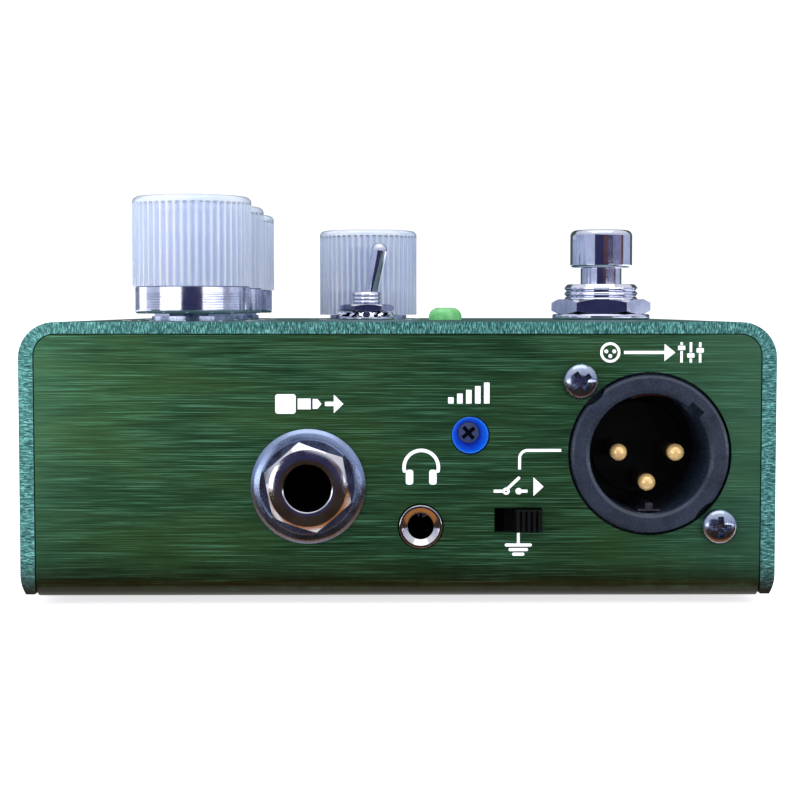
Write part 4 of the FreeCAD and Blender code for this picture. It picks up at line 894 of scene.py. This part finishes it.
def carved(obj, cutter_shape, name):
    """Cut a shape out of a mesh object for good."""
    cutter = closed_mesh(name, cutter_shape, Matrix.Scale(MM, 4))
    obj.modifiers.clear()
    carve = obj.modifiers.new("recess", "BOOLEAN")
    carve.operation = "DIFFERENCE"
    carve.solver = "EXACT"
    carve.use_self = True
    carve.object = cutter
    bpy.context.view_layer.update()
    evaluated = obj.evaluated_get(bpy.context.evaluated_depsgraph_get())
    result = bpy.data.meshes.new_from_object(evaluated)
    obj.modifiers.remove(carve)
    obj.data = result
    bpy.data.objects.remove(cutter)


def frustum(length, width, depth, foot, at_top):
    """Slot that narrows towards its floor."""
    top, bottom = at_top, at_top - depth
    upper = [(x * length / 2, y * width / 2, top) for x, y in ((-1, -1), (1, -1), (1, 1), (-1, 1))]
    lower = [(x * foot / 2, y * width * 0.4, bottom) for x, y in ((-1, -1), (1, -1), (1, 1), (-1, 1))]
    faces = [[3, 2, 1, 0], [4, 5, 6, 7]] + [[i, (i + 1) % 4, 4 + (i + 1) % 4, 4 + i] for i in range(4)]
    return upper + lower, faces


def add_panel_screws():
    """Two pan-head screws with tapered cross recesses."""
    lo, hi = low("xlr_screws"), high("xlr_screws")
    head, rim, stem, depth, steps = 2.5, 0.38, 1.25, 9, 12
    proud = FRONT - lo.y
    rows = [(0, -depth), (stem, -depth), (stem, 0), (head - 0.1, 0), (head, 0.08), (head, rim)]
    for i in range(1, steps):
        angle = math.pi / 2 * i / steps
        rows.append((head * math.cos(angle) ** 0.8, rim + (proud - rim) * math.sin(angle)))
    rows.append((0, proud))
    for name, x, z, turn in (("upper", lo.x + head, hi.z - head, 35), ("lower", hi.x - head, lo.z + head, 0)):
        place = Matrix.Translation((x, FRONT, z)) @ FORWARD @ Matrix.Rotation(math.radians(turn), 4, "Z")
        screw = piece(f"xlr_{name}_screw", moved(revolve(rows, 96), place), "zinc", crease=30)
        slots = [frustum(length=3.3, width=0.8, depth=1.5, foot=1.7, at_top=proud + 0.1)]
        slots.append(moved(slots[0], Matrix.Rotation(math.radians(90), 4, "Z")))
        for number, slot in enumerate(slots):
            carved(screw, moved(slot, place), f"{name}_slot_{number}")
        shade(screw.data, 30)
        even_normals(screw)
        if name == "upper":
            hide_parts("xlr_screws")


def add_xlr_details():
    """Raised boss round the pins, and the latch tongue at the top of the socket."""
    insert = centre("xlr_insert")
    at = (insert.x, low("xlr_insert").y, insert.z)
    radius, height = 6.7, 0.7
    boss = rounded([(0.01, 0, 0), (radius, 0, 0), (radius, height, 0.15), (0.01, height, 0)], 4)
    rows = [(0, 0)] + boss[1:-1] + [(0, height)]
    piece("xlr_insert_boss", revolve(rows, 96), "black_plastic", at=at, facing=FORWARD)
    radius, thick, half_angle, aside = 8.27, 0.24, 20, 0.4
    outline = arc(aside, 0, radius, 90 - half_angle, 90 + half_angle, 16)
    outline += arc(aside, 0, radius - thick, 90 + half_angle, 90 - half_angle, 16)
    piece("xlr_latch", extrude(outline, -3.5, -1.2), "copper", at=(insert.x, FRONT, insert.z),
          facing=FORWARD, bevel=0.08)


add_panel_screws()
add_xlr_details()


def add_slider():
    """Slide switch grip with five rounded ribs."""
    node = "lift_switch_slider"
    lo, hi, middle = low(node), high(node), centre(node)
    width, height, ribs = 3.7, 2.95, 5
    groove, crown, gap = 0.42, 0.25, 0.1
    plate_front, plate_half = hi.y - 1.5, 3.2
    pitch = width / ribs
    outline = [(width / 2, plate_front), (-width / 2, plate_front)]
    for i in range(ribs):
        start = -width / 2 + pitch * i
        outline.append((start + 0.02, lo.y + groove))
        for step in range(7):
            angle = math.pi * (1 - step / 6)
            x = start + pitch / 2 + (pitch / 2 - gap) * math.cos(angle)
            outline.append((x, lo.y + crown - crown * math.sin(angle)))
        outline.append((start + pitch - 0.02, lo.y + groove))
    grip = extrude(outline, -height / 2, height / 2)
    plate = extrude(bar(-plate_half, plate_front, plate_half, hi.y), lo.z - middle.z, hi.z - middle.z)
    piece("lift_ribbed_slider", joined([grip, plate]), "black_plastic", "lift_slider",
          (middle.x, 0, middle.z), stands_for=(node,), crease=35, bevel=0.06)


add_slider()


# -------- printed markings

INK = 0.03
INK_STEP = 0.004
LINE = 0.42


def round_end(end, way, half):
    """Half circle round the end of a line that arrives along way."""
    first = math.atan2(way.y, way.x) + math.pi / 2
    angles = [first - math.pi * step / 8 for step in range(1, 8)]
    return [end + Vector((math.cos(angle), math.sin(angle))) * half for angle in angles]


def stroke(points, width, round_ends=True):
    """Outline of a line of one width along open points."""
    half = width / 2
    line = [Vector(point) for point in points]
    sides = ([], [])
    for i, here in enumerate(line):
        before = (here - line[i - 1]).normalized() if i else (line[1] - here).normalized()
        after = (line[i + 1] - here).normalized() if i < len(line) - 1 else before
        way = (before + after).normalized()
        reach = half / max(0.3, way.dot(before))
        normal = Vector((-way.y, way.x))
        sides[0].append(here + normal * reach)
        sides[1].append(here - normal * reach)
    far_end = round_end(line[-1], line[-1] - line[-2], half) if round_ends else []
    near_end = round_end(line[0], line[0] - line[1], half) if round_ends else []
    outline = sides[0] + far_end + sides[1][::-1] + near_end
    return [(point.x, point.y) for point in outline]


def ring(x, y, outer, inner, steps=48):
    """Flat ring as two half outlines."""
    halves = []
    for start in (0, 180):
        rim = arc(x, y, outer, start, start + 180, steps // 2)
        halves.append(rim + arc(x, y, inner, start + 180, start, steps // 2))
    return halves


def disc(x, y, radius):
    """Flat disc."""
    return arc(x, y, radius, 0, 360 - 360 / 24, 23)


def arrow_head(x, y, length, height):
    """Solid triangle pointing right from x."""
    return [(x, y - height / 2), (x + length, y), (x, y + height / 2)]


def printed(name, outlines, at, facing=UP, finish="ink_white"):
    """Marks printed on a flat face, each a hair higher than the last so that no two faces coincide."""
    shapes = [extrude(outline, -0.01, INK + INK_STEP * i) for i, outline in enumerate(outlines)]
    return piece(name, joined(shapes), finish, at=at, facing=facing, crease=60)


def front_print(name, x, z, outlines):
    """Marks on the connector end panel about a point of it."""
    printed(name, outlines, (x, FRONT, z), FORWARD)


def plug_mark(width, height):
    """Jack plug lying on its side, its tip towards an arrow."""
    h = height / 2
    left = -width / 2
    body = bar(left, -h, left + width * 0.3, h, 0.35)
    sleeve = bar(left + width * 0.33, -h * 0.55, left + width * 0.52, h * 0.55)
    neck, shoulder, point = left + width * 0.55, left + width * 0.62, left + width * 0.68
    waist = h * 0.5
    tip = [(neck, -waist), (shoulder, -waist), (point, 0), (shoulder, waist), (neck, waist)]
    shaft = bar(width * 0.23, -h * 0.22, width * 0.36, h * 0.22)
    return [body, sleeve, tip, shaft, arrow_head(width * 0.36, 0, width * 0.14, height * 0.95)]


def level_mark(width, height, bars=5):
    """Bars that rise from left to right, for level."""
    pitch = width / bars
    outlines = []
    for i in range(bars):
        left = -width / 2 + pitch * i
        tall = height * (0.3 + 0.7 * i / (bars - 1))
        outlines.append(bar(left, -height / 2, left + pitch * 0.62, -height / 2 + tall, 0.08))
    return outlines


def open_switch_mark(width, height):
    """Circuit symbol of an open switch."""
    y = -height * 0.22
    pivot, contact = -width * 0.13, width * 0.24
    left = stroke([(-width / 2, y), (pivot - 0.45, y)], LINE, False)
    right = stroke([(contact + 0.4, y), (width / 2, y)], LINE, False)
    lever = stroke([(-width * 0.12, y + 0.22), (contact, height / 2 - 0.2)], LINE)
    return [left, right, lever] + ring(pivot, y, 0.5, 0.18) + [disc(contact, y, 0.45)]


def socket_mark(width, height):
    """Three-pin socket, a cable and a mixing desk's faders."""
    h = height / 2
    left = -width / 2 + h
    outlines = ring(left, 0, h, h - 0.36)
    outlines += [disc(left + x, y, 0.27) for x, y in ((-0.55, 0.15), (0.55, 0.15), (0, -0.5))]
    cable_end = width * 0.14
    outlines.append(stroke([(left + h + 0.5, 0), (cable_end, 0)], LINE, False))
    outlines.append(arrow_head(cable_end, 0, 1.5, height * 0.85))
    rail, knob, clear = 0.17, 0.5, 0.42
    for i, share in enumerate((0.45, -0.3, 0.2)):
        x = width * 0.31 + i * 1.28
        level = share * h
        outlines.append(bar(x - rail, -h, x + rail, level - clear))
        outlines.append(bar(x - rail, level + clear, x + rail, h))
        outlines.append(bar(x - knob, level - 0.3, x + knob, level + 0.3, 0.1))
    return outlines


def headphone_mark(width, height):
    """Headphones: a band over two ear cups."""
    cup, tall, line = 1.03, 2.07, 0.48
    radius = width / 2 - line / 2
    bottom = -height / 2
    outlines = []
    for side in (-1, 1):
        x = side * (width / 2 - line - cup / 2)
        outlines.append(bar(x - cup / 2, bottom, x + cup / 2, bottom + tall, 0.35))
    band = arc(0, height / 2 - line / 2 - radius, radius, -12, 192, 40)
    outlines.append(stroke(band, line))
    return outlines


def ground_mark():
    """Earth symbol: a stem over three shrinking bars."""
    outlines = [bar(-0.2, -0.75, 0.2, 0.75)]
    for i, half in enumerate((1.87, 1.35, 0.85)):
        y = -0.97 - 0.64 * i
        outlines.append(bar(-half, y - 0.22, half, y + 0.22, 0.2))
    return outlines


def add_front_markings():
    """Everything printed on the connector end panel."""
    jack = centre("output_jack_washer")
    phones = centre("headphone_jack_barrel")
    trimmer = centre("trimmer_body")
    switch = centre("lift_switch_frame")
    xlr = centre("xlr_insert")
    front_print("mark_output", jack.x + 0.18, jack.z + 11.42, plug_mark(9.4, 2.7))
    front_print("mark_level", trimmer.x, trimmer.z + 5.9, level_mark(6.2, 2.9))
    front_print("mark_headphones", phones.x + 0.07, phones.z + 8.33, headphone_mark(5.23, 5.0))
    front_print("mark_lift", switch.x - 1.07, switch.z + 4.65, open_switch_mark(4.7, 2.8))
    front_print("mark_lift_arrow", switch.x + 2.1, switch.z + 4.65, [arrow_head(0, 0, 1.4, 2.6)])
    front_print("mark_ground", switch.x + 0.03, switch.z - 2.5, ground_mark())
    corner = 1.1
    rise = [(0, 0)] + arc(corner, 1.55, corner, 180, 90, 10) + [(5.76, 1.55 + corner)]
    front_print("mark_link", switch.x + 0.17, switch.z + 7.05, [stroke(rise, 0.39, False)])
    front_print("mark_direct", xlr.x - 0.04, xlr.z + 14.04, socket_mark(13.9, 2.8))


TICKS = 11
SWEEP = 300


def add_top_markings():
    """Scale ticks round each knob and a dot at each end of the toggle's throw."""
    for name in (*TALL, "low"):
        middle = centre(f"{name}_knob")
        radius = half_width(f"{name}_knob")
        outlines = []
        for i in range(TICKS):
            angle = math.radians(180 - SWEEP / 2 + SWEEP * i / (TICKS - 1))
            way = Vector((math.cos(angle), math.sin(angle)))
            start = radius + 0.9
            length = 0.9 if i in (0, TICKS // 2, TICKS - 1) else 0.55
            outlines.append(stroke([way * start, way * (start + length)], 0.3, False))
        printed(f"mark_{name}_scale", outlines, (middle.x, middle.y, TOP))
    toggle = centre("toggle_nut")
    marks = [disc(-7.2, 0, 0.55)] + ring(7.0, 0, 0.6, 0.3)
    printed("mark_toggle", marks, (toggle.x, toggle.y, TOP))


def add_back_markings():
    """Input arrow and supply polarity on the far end panel."""
    jack = centre("input_jack_washer")
    inlet = centre("power_inlet_pin")
    shaft = bar(-2.6, -0.3, 1.0, 0.3)
    printed("mark_input", [shaft, arrow_head(1.0, 0, 2.0, 2.6)] + [bar(3.3, -1.3, 3.8, 1.3)],
            (jack.x, BACK, jack.z + 11.1), BACKWARD)
    polarity = [stroke(arc(0, 0, 1.1, 45, 315, 24), 0.35), disc(0, 0, 0.45)]
    polarity += [bar(-3.4, -0.17, -1.3, 0.17), bar(0.55, -0.17, 3.4, 0.17)]
    for x in (-4.4, 4.4):
        polarity += ring(x, 0, 1.0, 0.72) + [bar(x - 0.55, -0.13, x + 0.55, 0.13)]
    printed("mark_polarity", polarity, (inlet.x, BACK, inlet.z + 11.1), BACKWARD)


add_front_markings()
add_top_markings()
add_back_markings()


# -------- studio

BLACK = (0, 0, 0)
ALL_RAYS = ("camera", "diffuse", "glossy", "transmission", "shadow", "volume_scatter")


def stage_mesh(name, points, faces, paint, glow, seen_by):
    """Mesh that isn't part of the object: its paint, its own glow and the kinds of ray that meet it."""
    mesh = bpy.data.meshes.new(name)
    mesh.from_pydata(points, [], faces)
    finish = Finish(name, paint, 0.9, Specular_IOR_Level=0.0, Emission_Strength=1.0)
    finish.shader.inputs["Emission Color"].default_value = (*glow, 1)
    mesh.materials.append(finish.material)
    obj = bpy.data.objects.new(name, mesh)
    link(obj)
    for ray in ALL_RAYS:
        setattr(obj, f"visible_{ray}", ray in seen_by)
    return obj


def card(name, glow, start, end, bottom, top):
    """Upright card that only reflections see, between two points of the plan."""
    points = [(*start, bottom), (*end, bottom), (*end, top), (*start, top)]
    return stage_mesh(name, points, [(0, 1, 2, 3)], BLACK, glow, ("glossy",))


def level_square(half_width, back, front, height):
    """Corners and face of a level rectangle in front of the connector end."""
    points = [
        (-half_width, -front, height),
        (half_width, -front, height),
        (half_width, -back, height),
        (-half_width, -back, height),
    ]
    return points, [(0, 1, 2, 3)]


def soft_box(name, azimuth, elevation, distance, width, height, radiance, color, mirrored):
    """Area light aimed at the box; azimuth runs from the connector end towards +X."""
    aim = Vector((0, 0, 0.03))
    turn = math.radians(azimuth)
    lift = math.radians(elevation)
    way = Vector((math.sin(turn) * math.cos(lift), -math.cos(turn) * math.cos(lift), math.sin(lift)))
    data = bpy.data.lights.new(name, "AREA")
    data.shape = "RECTANGLE"
    data.size = width
    data.size_y = height
    data.energy = radiance * math.pi * width * height
    data.color = color
    light = bpy.data.objects.new(name, data)
    light.location = aim + way * distance
    light.rotation_euler = way.to_track_quat("Z", "Y").to_euler()
    light.visible_camera = False
    light.visible_glossy = mirrored
    link(light)


def add_world():
    """Soft lavender surroundings that brighten towards the ceiling."""
    world = bpy.data.worlds.new("surroundings")
    world.use_nodes = True
    tree = world.node_tree
    direction = tree.nodes.new("ShaderNodeTexCoord").outputs["Generated"]
    split = tree.nodes.new("ShaderNodeSeparateXYZ")
    ramp = tree.nodes.new("ShaderNodeValToRGB")
    tree.links.new(direction, split.inputs["Vector"])
    tree.links.new(split.outputs["Z"], ramp.inputs["Fac"])
    ramp.color_ramp.elements[0].color = (0.48, 0.54, 0.72, 1)
    ramp.color_ramp.elements[1].color = (0.95, 0.97, 1.0, 1)
    ramp.color_ramp.elements[1].position = 0.8
    tree.links.new(ramp.outputs["Color"], tree.nodes["Background"].inputs["Color"])
    bpy.context.scene.world = world


def add_cards():
    """Cards round the connector end: low white ones, and dark ones where the camera stands."""
    near_left = (-0.081, -0.198)
    far_right = (0.224, -0.526)
    card("dark_card", (0.035, 0.037, 0.1), near_left, far_right, 0, 0.11)
    card("brown_card", (0.12, 0.06, 0.075), (0.046, -0.329), (0.224, -0.521), 0.055, 0.11)
    card("navy_card", (0.05, 0.055, 0.13), far_right, (0.445, -0.526), 0.056, 0.11)
    card("white_card_left", (3.4, 3.4, 3.5), near_left, (-0.341, -0.198), 0, 0.049)
    card("white_card_right", (3.6, 3.6, 3.9), far_right, (1.4, -0.526), 0, 0.055)
    card("white_card_side", (1.9, 1.9, 2.0), (-0.1, -0.022), (-0.1, 0.015), 0, 0.05)
    card("dusk_card", (0.2, 0.2, 0.34), (0.445, -0.526), (1.65, -0.526), 0.056, 0.15)
    card("thin_card", (0.14, 0.05, 0.05), (0.6, -0.184), (0.6, -0.07), 0.056, 0.1)
    card("back_card", (0.24, 0.27, 0.42), (1.2, 0.9), (-1.2, 0.9), 0, 0.06)
    card("rear_shade", (0.09, 0.12, 0.12), (1.2, 0.92), (-1.2, 0.92), 0.06, 0.8)
    ground = 0.0005
    rectangle = level_square(1.2, 0.057, 0.9, ground)
    stage_mesh("dark_ground", *rectangle, BLACK, (0.04, 0.026, 0.018), ("glossy",))
    rectangle = level_square(0.3, 0.0515, 0.057, ground)
    stage_mesh("warm_ground", *rectangle, BLACK, (0.45, 0.18, 0.05), ("glossy",))


def add_studio():
    """Pale floor and backdrop, two soft boxes beside the camera and one overhead."""
    stage_mesh("floor", *level_square(6, -6, 6, 0), (0.7, 0.7, 0.72), (0.74, 0.74, 0.75), ALL_RAYS)
    sphere = bmesh.new()
    bmesh.ops.create_uvsphere(sphere, u_segments=32, v_segments=16, radius=9)
    points = [vertex.co[:] for vertex in sphere.verts]
    faces = [[vertex.index for vertex in face.verts] for face in sphere.faces]
    sphere.free()
    stage_mesh("backdrop", points, faces, BLACK, (1.1, 1.1, 1.1), ("camera", "transmission"))
    add_world()
    add_cards()
    soft_box("left_box", -54, 14, 0.9, 0.8, 0.75, 2.6, (0.95, 0.98, 1.0), False)
    soft_box("right_box", 49, 14, 0.9, 0.73, 0.75, 1.5, (0.96, 0.96, 1.0), False)
    soft_box("top_box", 0, 78, 1.0, 1.0, 0.8, 1.1, (0.97, 0.98, 1.0), True)


def add_camera():
    """Camera a little above the lid's level, square on to the connector end."""
    data = bpy.data.cameras.new("camera")
    data.sensor_width = 36
    data.lens = 76.68
    camera = bpy.data.objects.new("camera", data)
    camera.location = (-0.00167, -0.2859, 0.0413)
    camera.rotation_euler = Euler((math.radians(86.94), 0, math.radians(-0.47)))
    link(camera)
    bpy.context.scene.camera = camera


add_studio()
add_camera()
bpy.context.scene.view_settings.view_transform = "Standard"
